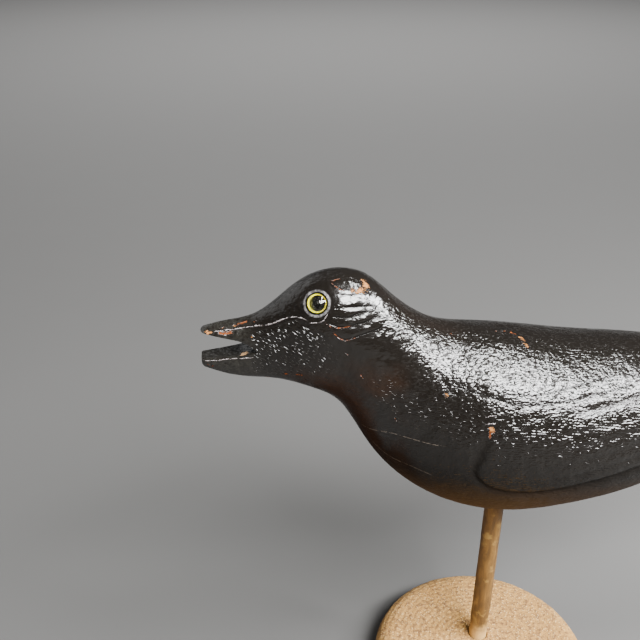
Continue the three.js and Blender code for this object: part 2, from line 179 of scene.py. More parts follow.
# Rows of short nicks on the cheek and throat: the x over which they begin and end, their edges as
# x and turn, and their slope in degrees, spacing, length and depth.
NICK_FRONT = (-378, -366)
NICK_REAR = (-282, -246)
NICK_UPPER_EDGE = [(-378, 60), (-345, 67), (-313, 66), (-290, 78), (-262, 92)]
NICK_LOWER_EDGE = [(-378, 140), (-345, 146), (-321, 138), (-262, 116)]
NICK_SLOPE = 36
NICK_ROW = 2 * MM
NICK_LENGTH = 2.7 * MM
NICK_DEPTH = 0.25 * MM
ROW_DEPTH = 0.12 * MM  # of the furrow along each row
NICK_SETS = 8  # of spots in the paint, one in each cell

# Broken curved ridges on the neck, round the middle of the crown facet.
RIDGE_MIDDLE = (-240, 23)
RIDGE_SPACING = 2.6 * MM
RIDGE_HEIGHT = 0.34 * MM
RIDGE_WOBBLE = 2.2 * MM
RIDGES_BEGIN = (16 * MM, 22 * MM)  # the distances over which they set in and end
RIDGES_END = (36 * MM, 48 * MM)

# The raised ring round an eye: its height, and its radius and half width across.
RING_HEIGHT = 0.3 * MM
RING_RADIUS = 6.6 * MM
RING_WIDTH = 0.95 * MM

# Dents: x, turn, radius and depth.
DENTS = [(-24, 5, 4 * MM, 0.7 * MM), (-8, 6, 3 * MM, 0.4 * MM)]

# The unevenness that the knife and the brush leave: depth, and size of its lumps.
KNIFE_DEPTH = 0.22 * MM
KNIFE_SIZE = 13 * MM
FINE_DEPTH = 0.07 * MM
FINE_SIZE = 4.5 * MM

# Marks on the skin: half width in millimetres, strength, and x and turn along each.
# Where the paint is worn off, to orange wood on the left, to tan wood there, and on the right.
WORN_LEFT = [
    (0.7, 0.85, [(-414, 63), (-406, 64), (-398, 62)]),
    (0.9, 0.75, [(-396, 37), (-388, 33), (-383, 29), (-378, 27)]),
    (0.8, 0.65, [(-367, 36), (-365, 36)]),
    (0.8, 0.65, [(-412, 43), (-408, 41)]),
    (1.2, 0.7, [(-432, 138), (-426, 138)]),
    (1.0, 0.65, [(-354, 160), (-349, 160)]),
    (1.0, 0.7, [(-328, 136), (-322, 134)]),
    (1.0, 0.7, [(-312, 132), (-306, 131)]),
    (0.7, 0.8, [(-229, 98), (-225, 98)]),
    (0.6, 0.75, [(-168, 19), (-167, 23)]),
    (0.6, 0.75, [(-160, 11), (-159, 14)]),
    (0.8, 0.7, [(-100, 12), (-97, 13)]),
    (0.8, 0.9, [(-12, 2), (-5, 4)]),
    (0.5, 0.7, [(-36, 3), (-28, 2), (-18, 1)]),
    (1.9, 0.95, [(-58, 70.5), (-57, 71.5)]),
    (1.0, 0.85, [(-59, 73), (-59, 75.5)]),
    (1.2, 0.75, [(-9, 110), (-4, 112)]),
    (0.6, 0.6, [(-253, 92), (-245, 93)]),
    (0.7, 0.65, [(-181, 99), (-178, 100)]),
]
TAN_LEFT = [
    (3.2, 0.66, [(-222, 14), (-220, 19), (-226, 27), (-238, 33)]),
    (1.0, 0.95, [(-386, 100), (-378, 100)]),
    (0.9, 0.8, [(-430, 56), (-424, 54)]),
    (0.8, 0.75, [(-433, 48), (-430, 44)]),
    (0.7, 0.8, [(-372, 82), (-371, 83)]),
    (0.5, 0.7, [(-396, 38), (-392, 40)]),
    (1.2, 0.85, [(-117, 59), (-115, 59)]),
    (0.7, 0.75, [(-188, 94), (-188, 97)]),
    (1.3, 0.8, [(-57, 70), (-56, 71)]),
    (1.2, 0.9, [(0, 7), (4, 10)]),
    (1.2, 0.8, [(3, 13), (5, 16)]),
]
WORN_RIGHT = [
    (1.0, 0.8, [(-432, 58), (-424, 56)]),
    (0.8, 0.75, [(-402, 50), (-394, 46)]),
    (0.9, 0.8, [(-384, 98), (-378, 99)]),
    (0.6, 0.8, [(-272, 75), (-258, 76), (-248, 72)]),
    (1.8, 0.75, [(-224, 18), (-226, 26)]),
    (1.1, 0.75, [(-120, 60), (-116, 62)]),
    (1.5, 0.85, [(-60, 72), (-58, 78)]),
    (1.0, 0.75, [(60, 104), (68, 104)]),
    (1.1, 0.75, [(250, 92), (258, 92)]),
    (1.4, 0.8, [(543, 18), (550, 24)]),
    (1.4, 0.85, [(548, 66), (552, 74)]),
]
# Where the paint is brown rather than black, where it has short level flecks on the breast (small
# hollows with a painted glint), and where it is smooth, behind and under the eye.
BROWN_PLACES = [
    (12, 1.0, [(-290, 150), (-250, 135), (-215, 140), (-190, 148)]),
    (9, 0.6, [(-190, 110), (-170, 130), (-160, 150)]),
    (8, 0.5, [(-230, 96), (-200, 92), (-185, 78)]),
    (7, 0.08, [(-190, 4), (-150, 6), (-100, 8)]),
]
FLECKED_PLACES = [
    (9, 1.0, [(-196, 90), (-180, 88), (-160, 84)]),
    (9, 0.75, [(-150, 80), (-110, 76), (-78, 72)]),
]
CALM_PLACES = [
    (12, 1.0, [(-262, 40), (-240, 42), (-215, 36)]),
    (12, 1.0, [(-255, 90), (-225, 84), (-190, 70), (-165, 64)]),
]
FLECK_SLOPE = 4
FLECK_LENGTH = 9 * MM
FLECK_ROW = 2.2 * MM

# Thin pale scratches on the left side, x and turn. Their pale line is partly the scratch and partly
# a painted glint along it.
SCRATCHES = [
    [(-226, 147), (-196, 120), (-168, 106), (-140, 97), (-112, 90)],
    [(-211, 147), (-182, 138), (-153, 126), (-122, 119)],
]
SCRATCH_WIDTH = 0.28 * MM

# A pale spot on the floor of the mouth: x and turn of the skin beside it, how far inward it lies,
# and its size in millimetres along each axis.
BILL_SPOT = (-385, 101)
BILL_SPOT_INWARD = 2 * MM
BILL_SPOT_SIZE = (3.8, 3.2, 1.8)

# Thin painted highlights on the left side, pinkish white: on the cheek ridge, under the eye, on the
# lower bill's edge and by the wing. Then thin orange ones. Widths are half ones.
PAINTED_HIGHLIGHT_LINES = [
    [(-424, 55), (-410, 52), (-396, 50), (-384, 47), (-372, 48), (-360, 53), (-345, 60), (-325, 60),
     (-309, 65), (-297, 72)],
    [(-297, 74), (-284, 73), (-278, 70), (-272, 61)],
    [(-439, 130), (-430, 124), (-418, 117.5), (-406, 111.5), (-384, 107.5), (-368, 106.5)],
    [(-66, 64.5), (-58, 63), (-50, 62)],
    [(-66, 68.5), (-58, 67.5), (-52, 67)],
]
PAINTED_HIGHLIGHT_WIDTH = 0.34 * MM
ORANGE_LINES = [
    [(-277, 73), (-267, 77), (-256, 75), (-242, 69)],
    [(-266, 82), (-256, 85), (-247, 83), (-236, 76)],
    [(-416, 58), (-408, 58), (-397, 55)],
    [(-266, 19), (-261, 17.5), (-254, 16)],
    [(-267, 22), (-259, 31), (-250, 35)],
]
ORANGE_WIDTH = 0.42 * MM
ENGRAVED_WIDTH = 0.5 * MM  # of the fine lines in the cuts of the ear and shoulder
LINE_STOPS = 16  # of the ramp that gives a thin line its course

# The base's rounds and hole, its marks and the rod's wavering, and the wing's barbs.
FOOT_ROUND = 3 * MM
EDGE_ROUND = 13 * MM
EDGE_LEVEL = BASE_HEIGHT - EDGE_ROUND
FLAT_RADIUS = BASE_RADIUS - EDGE_ROUND
HOLE_RADIUS = ROD_RADIUS + CLEARANCE
HOLE_FLOOR = rod_low.z - CLEARANCE
BASE_COLUMNS = 480
TURNING_DEPTH = 0.2 * MM
RING_SPACING = 3.4 * MM
GRAIN_DEPTH = 0.2 * MM
GRAIN_SIZE = 1.5 * MM
RIM_ROUND = 0.5 * MM
ROD_ROW = 0.9 * MM
WAVER_DEPTH = 0.16 * MM
WAVER_SIZE = 3 * MM
BARB_SPACING = 1.5 * MM
CROW_SHARP = np.radians(38)  # edges that bend more than this are drawn sharp
ROUND_SHARP = np.radians(50)

# The photograph's camera: its place, its yaw, pitch and roll in degrees, and its focal length
# in pixels of the square photograph.
CAMERA_PLACE = (-0.154502, -0.424631, 0.4909)
CAMERA_TURN = (6, 27.8, 0.9)
CAMERA_FOCUS_PX = 900
PHOTO_PX = 640
FLOOR_SIZE = 8

# Soft boxes: name, the way to it from its target, distance, width and height, and watts. The far
# one hangs over the floor behind, at its own target, and the low one is warm and has no glare.
SOFT_LIGHTS = [
    ("key", (0.34, -0.59, 0.73), 1.3, (0.86, 0.46), 92),
    ("side", (0.80, -0.23, 0.56), 1.3, (0.50, 0.36), 46),
    ("top", (0.36, -0.12, 0.93), 1.3, (0.42, 0.24), 22),
    ("fill", (-0.75, 0.55, 0.45), 1.6, (2.0, 1.0), 5),
]
FAR_LIGHT = ("far", (0, 0, 1), 2.4, (3.0, 1.5), 75, (0.3, 2.3, 0))
LOW_LIGHT = ("low", (-0.45, -0.88, -0.10), 1.3, (0.9, 0.24), 9)


def natural_spline(xs, ys):
    """A natural cubic spline through the rows of ys at xs: its bends at the knots solve the usual
    three-term equations, and it is a cubic of the two nearest knots between them."""
    xs = np.asarray(xs, float)
    ys = np.asarray(ys, float).reshape(len(xs), -1)
    gap = np.diff(xs)
    system = np.eye(len(xs))
    right = np.zeros_like(ys)
    for i in range(1, len(xs) - 1):
        system[i, i - 1:i + 2] = gap[i - 1], 2 * (gap[i - 1] + gap[i]), gap[i]
        right[i] = 6 * ((ys[i + 1] - ys[i]) / gap[i] - (ys[i] - ys[i - 1]) / gap[i - 1])
    bend = np.linalg.solve(system, right)

    def at(x):
        x = np.asarray(x, float)
        i = np.clip(np.searchsorted(xs, x) - 1, 0, len(xs) - 2)
        span = (xs[i + 1] - xs[i])[..., None]
        a = (xs[i + 1] - x)[..., None] / span
        b = 1 - a
        cubic = (a ** 3 - a) * bend[i] + (b ** 3 - b) * bend[i + 1]
        return a * ys[i] + b * ys[i + 1] + cubic * span ** 2 / 6

    return at


section_at = natural_spline(SECTIONS[:, 0], SECTIONS[:, 1:])


def unit(vectors):
    """Vectors divided by their lengths."""
    return vectors / np.linalg.norm(vectors, axis=-1, keepdims=True)


def smooth_step(value, start, end):
    """0 before start, 1 past end, and 3t^2 - 2t^3 between them."""
    t = np.clip((value - start) / (end - start), 0, 1)
    return t * t * (3 - 2 * t)


def rounding(distance, radius):
    """How far a round end draws the skin in: radius - sqrt(radius^2 - short^2), where short is
    what the distance from the end lacks of the radius."""
    short = np.clip(radius - np.maximum(distance, 0), 0, radius)
    return radius - np.sqrt(radius ** 2 - short ** 2)


def signed_power(value, power):
    """The size of a value to a power, with the value's sign."""
    return np.sign(value) * np.abs(value) ** power


def skin(x, turn):
    """The bare skin: at each x half a superellipse above the widest line and half a one below it,
    drawn in at both tips, with the tail's corners bowed forward."""
    x, turn = np.broadcast_arrays(np.asarray(x, float), np.asarray(turn, float))
    half, side_share, above, below, top, low = np.moveaxis(section_at(x), -1, 0)
    inset = rounding(SHARE * (x - BEAK_TIP), BEAK_TIP_ROUND)
    inset = inset + rounding(SHARE * (TAIL_TIP - x), TAIL_TIP_ROUND)
    half = SHARE * half - inset
    top = SHARE * top - inset
    low = SHARE * low + inset
    side = low + (top - low) * side_share
    angle = np.radians(turn)
    upper = np.cos(angle) > 0
    power = 2 / np.where(upper, above, below)
    out = signed_power(np.sin(angle), power)
    up = signed_power(np.cos(angle), power)
    tail = np.clip((x - TAIL_START) / (TAIL_TIP - TAIL_START), 0, None)
    return np.stack([
        SHARE * x - TAIL_BOW * tail ** 2 * out ** 2,
        -half * out,
        BELLY_LEVEL + side + np.where(upper, top - side, side - low) * up,
    ], axis=-1)


def skin_normal(x, turn):
    """The way out of the skin: the step down it crossed with the step along it."""
    along = skin(x + 0.5, turn) - skin(x - 0.5, turn)
    down = skin(x, turn + 0.5) - skin(x, turn - 0.5)
    return unit(np.cross(down, along))


def lengths(points):
    """The length along each row of points, from its first point to each of them."""
    steps = np.linalg.norm(np.diff(points, axis=-2), axis=-1)
    return np.concatenate([0 * steps[..., :1], np.cumsum(steps, axis=-1)], axis=-1)


def length_down(x, turn):
    """The length over the skin from the crown down to a turn."""
    return lengths(skin(x, np.linspace(0, turn, 80)))[-1]


def lattice_noise(points, size, seed=0):
    """Smooth noise from -1 to 1: a value from a sine hash at each corner of a cubic lattice of that
    size, blended by 3t^2 - 2t^3 along each axis."""
    place = points / size + 37.7 * seed
    corner = np.floor(place)
    t = place - corner
    t = t * t * (3 - 2 * t)
    total = 0
    for dx in (0, 1):
        for dy in (0, 1):
            for dz in (0, 1):
                at = corner + (dx, dy, dz)
                value = np.sin(at @ np.array([127.1, 311.7, 74.7])) * 43758.5453
                value = 2 * (value - np.floor(value)) - 1
                weight = np.prod(np.where((dx, dy, dz), t, 1 - t), axis=-1)
                total = total + weight * value
    return total


def carved_line(knots, looped=False):
    """Samples of a carved line: a natural spline through its knots over the distance between
    them on the skin, run on past both ends where it is a loop."""
    knots = np.array(knots, float)
    count = len(knots)
    if looped:
        knots = np.vstack([knots[-3:], knots, knots[:4]])
    reach = lengths(skin(knots[:, 0], knots[:, 1]))
    start, end = (reach[3], reach[3 + count]) if looped else (0, reach[-1])
    samples = int((end - start) / LINE_SPACING) + 2
    return natural_spline(reach, knots)(np.linspace(start, end, samples))


def cut_along(points, knots, cut, looped=False):
    """How deep one carved line cuts at each point: a V whose depth falls off straight over the
    inner width and as a power over the outer one, and fades at open ends."""
    depth, inner, outer, fade_length = cut
    line = carved_line(knots, looped)
    x, turn = line[:, 0], line[:, 1]
    outer = line[:, 2] if outer is None else np.full(len(x), float(outer))
    spots = skin(x, turn)
    ahead = np.gradient(spots, axis=0)
    inward = unit(np.cross(skin_normal(x, turn), ahead))
    step = np.linalg.norm(ahead, axis=1)
    run = np.cumsum(step) - step[0]
    fade = np.ones(len(x))
    if not looped:
        fade = np.clip(np.minimum(run, run[-1] - run) / (fade_length * MM) + 0.08, 0, 1)
    width = max(inner, outer.max()) * MM
    near = np.all((points > spots.min(0) - width) & (points < spots.max(0) + width), axis=-1)
    result = np.zeros(points.shape[:-1])
    close = points[near]
    found = np.zeros(len(close))
    for block in np.array_split(np.arange(len(close)), 1 + len(close) // BLOCK_SIZE):
        apart = close[block, None] - spots[None]
        nearest = np.argmin(np.einsum("ijk,ijk->ij", apart, apart), axis=1)
        offset = apart[np.arange(len(block)), nearest]
        aside = np.einsum("ij,ij->i", offset, inward[nearest])
        past = np.linalg.norm(offset, axis=1)
        side_width = np.where(aside > 0, inner, outer[nearest]) * MM * fade[nearest]
        left = np.clip(1 - past / side_width, 0, 1)
        shape = np.where(aside > 0, left, left ** 1.5)
        found[block] = depth * MM * fade[nearest] * shape
    result[near] = found
    return result


def wing_edges():
    """The turn of the wing's upper and of its lower edge, each a spline over x."""
    upper = np.array([WING_FRONT[0], *reversed(WING_UPPER), WING_TIP])
    lower = np.array([WING_FRONT[-1], *WING_LOWER, WING_TIP])
    return [natural_spline(rows[:, 0], rows[:, 1]) for rows in (upper, lower)]


def flight_feathers():
    """The edges of the flight feathers: each runs between the wing's two long edges and curves
    down to the lower one at its tip, the lowest feather ending first."""
    upper, lower = wing_edges()
    lines = []
    for k in range(FLIGHT_FEATHERS):
        level = (k + 1) / (FLIGHT_FEATHERS + 1)
        start = FEATHER_START + FEATHER_STAGGER * abs(k - 1)
        end = LONGEST_FEATHER + level * (SHORTEST_FEATHER - LONGEST_FEATHER)
        x = np.linspace(start, end, 8)
        sweep = np.clip(1 - (end - x) / FEATHER_SWEEP, 0, None) ** 2
        across = level + (FEATHER_END - level) * sweep
        turn = upper(x)[:, 0] * (1 - across) + lower(x)[:, 0] * across
        lines.append(np.column_stack([x, turn]))
    return lines


def wing_area(x, turn):
    """1 inside the folded wing and 0 outside it, with a soft edge between its two long edges."""
    upper, lower = wing_edges()
    inside = smooth_step(turn - upper(x)[..., 0], 0, 6) * smooth_step(lower(x)[..., 0] - turn, 0, 4)
    return inside * smooth_step(x, *WING_BEGINS) * (1 - smooth_step(x, *WING_ENDS))


def tail_lines(turns):
    """A feather line along the tail at each turn."""
    middle = (TAIL_LINE_START + TAIL_LINE_END) / 2
    return [[(x, turn) for x in (TAIL_LINE_START, middle, TAIL_LINE_END)] for turn in turns]


def carved_depth(points):
    """The deepest of all carved lines at each point of the crow's left half."""
    kinds = [
        (LID_CUT, [EYELID], True),
        (FACET_CUT, [CROWN_FACET], True),
        (CHEEK_CUT, [CHEEK_RIDGE], False),
        (EAR_CUT, EAR_LINES, False),
        (SHOULDER_CUT, SHOULDER_LINES, False),
        (WING_CUT, [WING_FRONT + WING_LOWER + [WING_TIP], [WING_TIP] + WING_UPPER], False),
        (FEATHER_CUT, flight_feathers(), False),
        (TAIL_CUT, tail_lines(TAIL_FEATHER_TURNS), False),
        (UNDERTAIL_CUT, tail_lines([UNDERTAIL_TURN]), False),
        (FLUTE_CUT, BREAST_FLUTES, False),
    ]
    depth = np.zeros(points.shape[:-1])
    for cut, lines, looped in kinds:
        for knots in lines:
            depth = np.maximum(depth, cut_along(points, knots, cut, looped))
    return depth


def scramble(values, seed):
    """A number from 0 to 1 for each whole number, by a sine hash."""
    mixed = np.sin(values * 12.9898 + seed * 78.233) * 43758.5453
    return mixed - np.floor(mixed)


def nick_area(x, turn):
    """1 on the cheek and throat where the nicks lie, 0 outside, with soft edges."""
    upper = np.interp(x, *np.transpose(NICK_UPPER_EDGE))
    lower = np.interp(x, *np.transpose(NICK_LOWER_EDGE))
    area = smooth_step(x, *NICK_FRONT) * (1 - smooth_step(x, *NICK_REAR))
    return area * smooth_step(turn - upper, 0, 5) * (1 - smooth_step(turn - lower, -10, 6))


def cheek_nicks(x, turn, points):
    """Rows of short gouge nicks that slope down to the rear. Across a row the nick is a V whose
    lower wall is the steep one; along the row it is a hump between gaps, shifted and scaled."""
    slope = np.radians(NICK_SLOPE)
    along = points[..., 0] * np.cos(slope) - points[..., 2] * np.sin(slope)
    across = -points[..., 2] * np.cos(slope) - points[..., 0] * np.sin(slope)
    across = (across + 0.5 * MM * lattice_noise(points, 8 * MM, 5)) / NICK_ROW
    row = np.floor(across)
    side = across - row
    place = along / NICK_LENGTH + 7 * scramble(row, 1) + 0.25 * lattice_noise(points, 5 * MM, 6)
    nick = np.floor(place)
    run = place - nick
    size = 0.35 + 0.65 * scramble(nick + 57 * row, 2)
    valley = np.clip(1 - np.abs(side - 0.6) / np.where(side < 0.6, 0.5, 0.26), 0, 1)
    hump = np.sin(np.pi * np.clip((run - 0.12) / 0.76, 0, 1))
    return nick_area(x, turn) * (NICK_DEPTH * size * hump + ROW_DEPTH) * valley


def neck_ridges(x, turn, down, points):
    """Shallow broken ridges round the crown behind the ear: a sine of the distance from the
    middle of the crown facet, with a wobble, faded in and out by noise."""
    middle_x, middle_turn = RIDGE_MIDDLE
    middle_down = np.interp(middle_turn, turn[0], down[np.argmin(np.abs(x[:, 0] - middle_x))])
    apart = np.hypot(SHARE * (x - middle_x), down - middle_down)
    wobble = RIDGE_WOBBLE * lattice_noise(points, 6 * MM, 8)
    area = smooth_step(apart, *RIDGES_BEGIN) * (1 - smooth_step(apart, *RIDGES_END))
    area = area * smooth_step(turn, 12, 24) * (1 - smooth_step(turn, 60, 78))
    area = area * smooth_step(x, -222, -204)
    broken = smooth_step(lattice_noise(points, 4 * MM, 12), -0.5, 0.4)
    wave = 0.5 - 0.5 * np.sin(2 * np.pi * (apart + wobble) / RIDGE_SPACING)
    return RIDGE_HEIGHT * area * broken * wave


def dent(points, x, turn, radius, depth):
    """A round dent: depth times the square of 1 - (distance / radius)^2."""
    apart = np.linalg.norm(points - skin(x, turn), axis=-1)
    return depth * np.clip(1 - (apart / radius) ** 2, 0, 1) ** 2


def eye_place(side):
    """The middle of an eye's rim and the way it looks; side is 1 on the left, -1 on the right."""
    forward = np.radians(EYE_FORWARD)
    upward = np.radians(EYE_UPWARD)
    level = np.cos(upward)
    look = np.array([-np.sin(forward) * level, -side * np.cos(forward) * level, np.sin(upward)])
    return skin(EYE_SPOT[0], side * EYE_SPOT[1]) - EYE_RIM_SUNK * look, look


def off_axis(offset, look):
    """How far each point lies from the axis through the origin along look."""
    return np.linalg.norm(offset - (offset @ look)[..., None] * look, axis=-1)


def eye_ring(points):
    """The ring round the left eye, 0 to 1, as a bell curve of the distance from the eye's axis,
    and how far forward on the ring each point lies, 0 to 1."""
    middle, look = eye_place(1)
    offset = points - middle
    apart = off_axis(offset, look)
    near = np.linalg.norm(offset, axis=-1) < 3 * EYE_RADIUS
    front = 0.5 - 0.5 * offset[..., 0] / np.maximum(apart, MM)
    return near * np.exp(-((apart - RING_RADIUS) / RING_WIDTH) ** 2), front


def smooth_depth(depth):
    """Softens a relief by one pass of a 1-2-1 average along and down the skin."""
    padded = np.pad(depth, ((1, 1), (0, 0)), mode="edge")
    depth = (padded[:-2] + 2 * padded[1:-1] + padded[2:]) / 4
    padded = np.pad(depth, ((0, 0), (1, 1)), mode="reflect")
    return (padded[:, :-2] + 2 * padded[:, 1:-1] + padded[:, 2:]) / 4


def marks_on(points, marks, spread=1.0):
    """The strongest mark at each point: strength times a bell curve of the distance from the
    mark's line over its half width."""
    result = np.zeros(points.shape[:-1])
    for half_width, strength, knots in marks:
        spots = skin(*carved_line(knots).T)
        width = half_width * MM * spread
        near = np.all((points > spots.min(0) - 3 * width) & (points < spots.max(0) + 3 * width), -1)
        close = points[near]
        apart = np.full(len(close), np.inf)
        for spot in spots:
            apart = np.minimum(apart, np.linalg.norm(close - spot, axis=-1))
        result[near] = np.maximum(result[near], strength * np.exp(-(apart / width) ** 2))
    return result


def skin_rows():
    """The x of each row of the skin: evenly spaced in each zone, closer where a tip is rounded."""
    rows = [BEAK_TIP]
    for (start, spacing), (end, _) in zip(ROW_ZONES, ROW_ZONES[1:]):
        steps = int(round(SHARE * (end - start) / (spacing * MM)))
        rows += list(np.linspace(start, end, steps + 1)[1:])
    parts = (1 - np.cos(np.linspace(0, np.pi / 2, 7)))[1:-1]
    beak_end = BEAK_TIP + BEAK_TIP_ROUND / SHARE
    tail_end = TAIL_TIP - TAIL_TIP_ROUND / SHARE
    rows = [x for x in rows if beak_end <= x <= tail_end]
    rows += [BEAK_TIP, TAIL_TIP]
    rows += list(BEAK_TIP + parts * BEAK_TIP_ROUND / SHARE)
    rows += list(TAIL_TIP - parts * TAIL_TIP_ROUND / SHARE)
    return np.sort(np.array(rows))


def corner_places(mesh):
    """Where the corners of a mesh are, one row each."""
    points = np.zeros((len(mesh.vertices), 3), np.float32)
    mesh.vertices.foreach_get("co", points.ravel())
    return points


def add_mask(mesh, key, values):
    """Gives a mesh a number at each corner, for its material to read."""
    mask = mesh.attributes.new(key, "FLOAT", "POINT")
    mask.data.foreach_set("value", values)


def closed_rows(name, rows, first_pole, last_pole, uv=None, **masks):
    """A closed mesh through rings of points: quads between neighbouring rings, and a fan to a
    pole at each end. The uv grid has one column more than a ring has points, and a mask has one
    value for each point."""
    count, around = rows.shape[:2]
    points = np.vstack([rows.reshape(-1, 3), [first_pole, last_pole]])
    ring = np.arange(count - 1)[:, None] * around
    here = np.arange(around)[None]
    there = (here + 1) % around
    quads = np.stack([ring + here, ring + there, ring + around + there, ring + around + here], -1)
    last = (count - 1) * around
    start, end = count * around, count * around + 1
    spin = np.arange(around)
    following = (spin + 1) % around
    fan = np.concatenate([
        np.stack([np.full(around, start), following, spin], -1),
        np.stack([np.full(around, end), last + spin, last + following], -1),
    ])
    mesh = bpy.data.meshes.new(name)
    mesh.from_pydata(points.tolist(), [], quads.reshape(-1, 4).tolist() + fan.tolist())
    if uv is not None:
        corner = np.stack([uv[:-1, :-1], uv[:-1, 1:], uv[1:, 1:], uv[1:, :-1]], axis=2)
        fan_corners = np.zeros((3 * len(fan), 2))
        layer = mesh.uv_layers.new(name="skin")
        layer.uv.foreach_set("vector", np.vstack([corner.reshape(-1, 2), fan_corners]).ravel())
    for key, values in masks.items():
        add_mask(mesh, key, np.append(values.ravel(), [0, 0]).astype(np.float32))
    mesh.polygons.foreach_set("use_smooth", np.ones(len(mesh.polygons), bool))
    mesh.update()
    piece = bpy.data.objects.new(name, mesh)
    bpy.context.scene.collection.objects.link(piece)
    return piece


def outward(piece):
    """Turns a closed mesh's faces outward: its volume, summed over its triangles as a . (b x c),
    has to be positive."""
    mesh = piece.data
    mesh.calc_loop_triangles()
    corners = np.zeros((len(mesh.loop_triangles), 3), np.int32)
    mesh.loop_triangles.foreach_get("vertices", corners.ravel())
    a, b, c = np.moveaxis(corner_places(mesh)[corners], 1, 0)
    if np.sum(a * np.cross(b, c)) < 0:
        mesh.flip_normals()
    return piece


def round_turns(count):
    """Even turns round a circle, in radians."""
    return 2 * np.pi * np.arange(count) / count


def turned(name, profile, sides, place, look=(0, 0, 1)):
    """A closed round piece: each point of the profile, radius and height, carried round an axis
    through place that points along look. The profile starts and ends on the axis."""
    profile = np.array(profile, float)
    spin = round_turns(sides)
    axis = np.array(look, float)
    side = unit(np.cross(axis, (1, 0, 0) if abs(axis[0]) < 0.9 else (0, 1, 0)))
    ahead = np.cross(axis, side)
    circle = np.cos(spin)[:, None] * side + np.sin(spin)[:, None] * ahead
    place = np.array(place, float)
    rings = place + profile[1:-1, 1, None, None] * axis + profile[1:-1, 0, None, None] * circle
    poles = place + profile[[0, -1], 1, None] * axis
    return outward(closed_rows(name, rings, *poles))


def arc(middle, radius, start, end, steps):
    """Points of a round stretch of a profile, from one angle to another, in degrees."""
    angle = np.radians(np.linspace(start, end, steps + 1))
    return [(middle[0] + radius * np.cos(a), middle[1] + radius * np.sin(a)) for a in angle]


def cut_away(piece, *cutters):
    """Cuts closed bodies from a piece and deletes them. What shows of a cutter is its surface."""
    for cutter in cutters:
        cut = piece.modifiers.new("cut", "BOOLEAN")
        cut.solver = "MANIFOLD"
        cut.operation = "DIFFERENCE"
        cut.object = cutter
        bpy.context.view_layer.update()
        finished = bpy.data.meshes.new_from_object(
            piece.evaluated_get(bpy.context.evaluated_depsgraph_get())
        )
        piece.modifiers.remove(cut)
        piece.data = finished
        bpy.data.objects.remove(cutter)
    return piece


def mouth_cutter():
    """The open mouth's space: between the two lips' curves in height, over the width of the
    bill. The floor and the roof turn away in a quarter round just inside the skin, and the floor
    is a little hollow."""
    x = np.linspace(MOUTH_FRONT, MOUTH_CORNER[0], 64)
    upper = np.interp(x, *np.transpose(UPPER_LIP + [MOUTH_CORNER]))
    lower = np.interp(x, *np.transpose(LOWER_LIP + [MOUTH_CORNER]))
    half, side_share, above, below, top, low = np.moveaxis(section_at(x), -1, 0)
    side = low + (top - low) * side_share

    def rim(height):
        """How far out the skin lies at a height: half (1 - share^power)^(1/power)."""
        reach = np.where(height > side, top - side, side - low)
        power = np.where(height > side, above, below)
        share = np.clip(np.abs(height - side) / reach, 0, 1)
        return half * (1 - share ** power) ** (1 / power)

    fine = np.concatenate([[0.15, 0.3, 0.45, 0.6, 0.75], np.linspace(0.84, 1.04, 13), [1.2, 1.6]])
    across = np.concatenate([-fine[::-1], [0], fine])
    open_share = np.clip((upper - lower) / 6, 0, 1)[:, None]

    def turned_away(width, radius):
        """The drop of a quarter round of that radius that ends at the skin."""
        return open_share * rounding(width[:, None] * (1 - np.abs(across)), radius / SHARE)

    trough = open_share * MOUTH_TROUGH / SHARE * np.clip(1 - (across / 0.8) ** 2, 0, 1)
    roof = upper[:, None] + turned_away(rim(upper), UPPER_LIP_ROUND)
    floor = lower[:, None] - turned_away(rim(lower), LOWER_LIP_ROUND) - trough
    width_up = rim(upper)[:, None] * across
    width_down = rim(lower)[:, None] * across
    ring_y = np.concatenate([width_up, width_down[:, ::-1]], axis=1)
    ring_z = np.concatenate([roof, floor[:, ::-1]], axis=1)
    ring_x = np.broadcast_to(x[:, None], ring_y.shape)
    rings = SHARE * np.stack([ring_x, ring_y, ring_z], -1) + (0, 0, BELLY_LEVEL)
    return outward(closed_rows("mouth", rings, rings[0].mean(0), rings[-1].mean(0)))


def socket_cutter(side):
    """An eye's socket: the eye's seat with room round it, carried on past the skin."""
    middle, look = eye_place(side)
    radius = EYE_RADIUS + CLEARANCE
    depth = -EYE_SEAT - CLEARANCE
    profile = [(0, depth), (radius - CLEARANCE, depth), (radius, depth + CLEARANCE)]
    profile += [(radius, z) for z in np.linspace(depth + 1 * MM, 4 * EYE_DOME, 12)]
    profile += [(0, 4 * EYE_DOME)]
    return turned("socket", profile, 64, middle, look)


def bore_cutter():
    """The rod's blind hole in the belly, with room round the rod."""
    low = BELLY_LEVEL - 4 * ROD_RADIUS
    high = rod_high.z + CLEARANCE
    levels = np.linspace(low, high, 30)
    profile = [(0, low)] + [(HOLE_RADIUS, z) for z in levels] + [(0, high)]
    return turned("bore", profile, 72, (0, 0, 0))


def right_half(left):
    """The right half's columns, from the belly back up, without the two that both halves share."""
    return left[:, -2:0:-1]


def skin_masks(points, x, turn, carved, ring, dull):
    """What the paint reads at each point of the skin, 0 to 1. The right half repeats the left
    one, all but its worn places."""
    masks = {
        "worn": marks_on(points, WORN_LEFT + TAN_LEFT),
        "pale": marks_on(points, TAN_LEFT, 1.8),
        "brown": marks_on(points, BROWN_PLACES),
        "hollow": np.clip(carved / MM, 0, 1),
        "wing": wing_area(x, turn),
        "cheek": nick_area(x, turn),
        "lid": ring,
        "dull": dull,
        "flecked": marks_on(points, FLECKED_PLACES),
        "calm": marks_on(points, CALM_PLACES),
    }
    others = {"worn": marks_on(points, WORN_RIGHT), "pale": np.zeros_like(carved)}
    for key, left in masks.items():
        masks[key] = np.concatenate([left, right_half(others.get(key, left))], axis=1)
    return masks


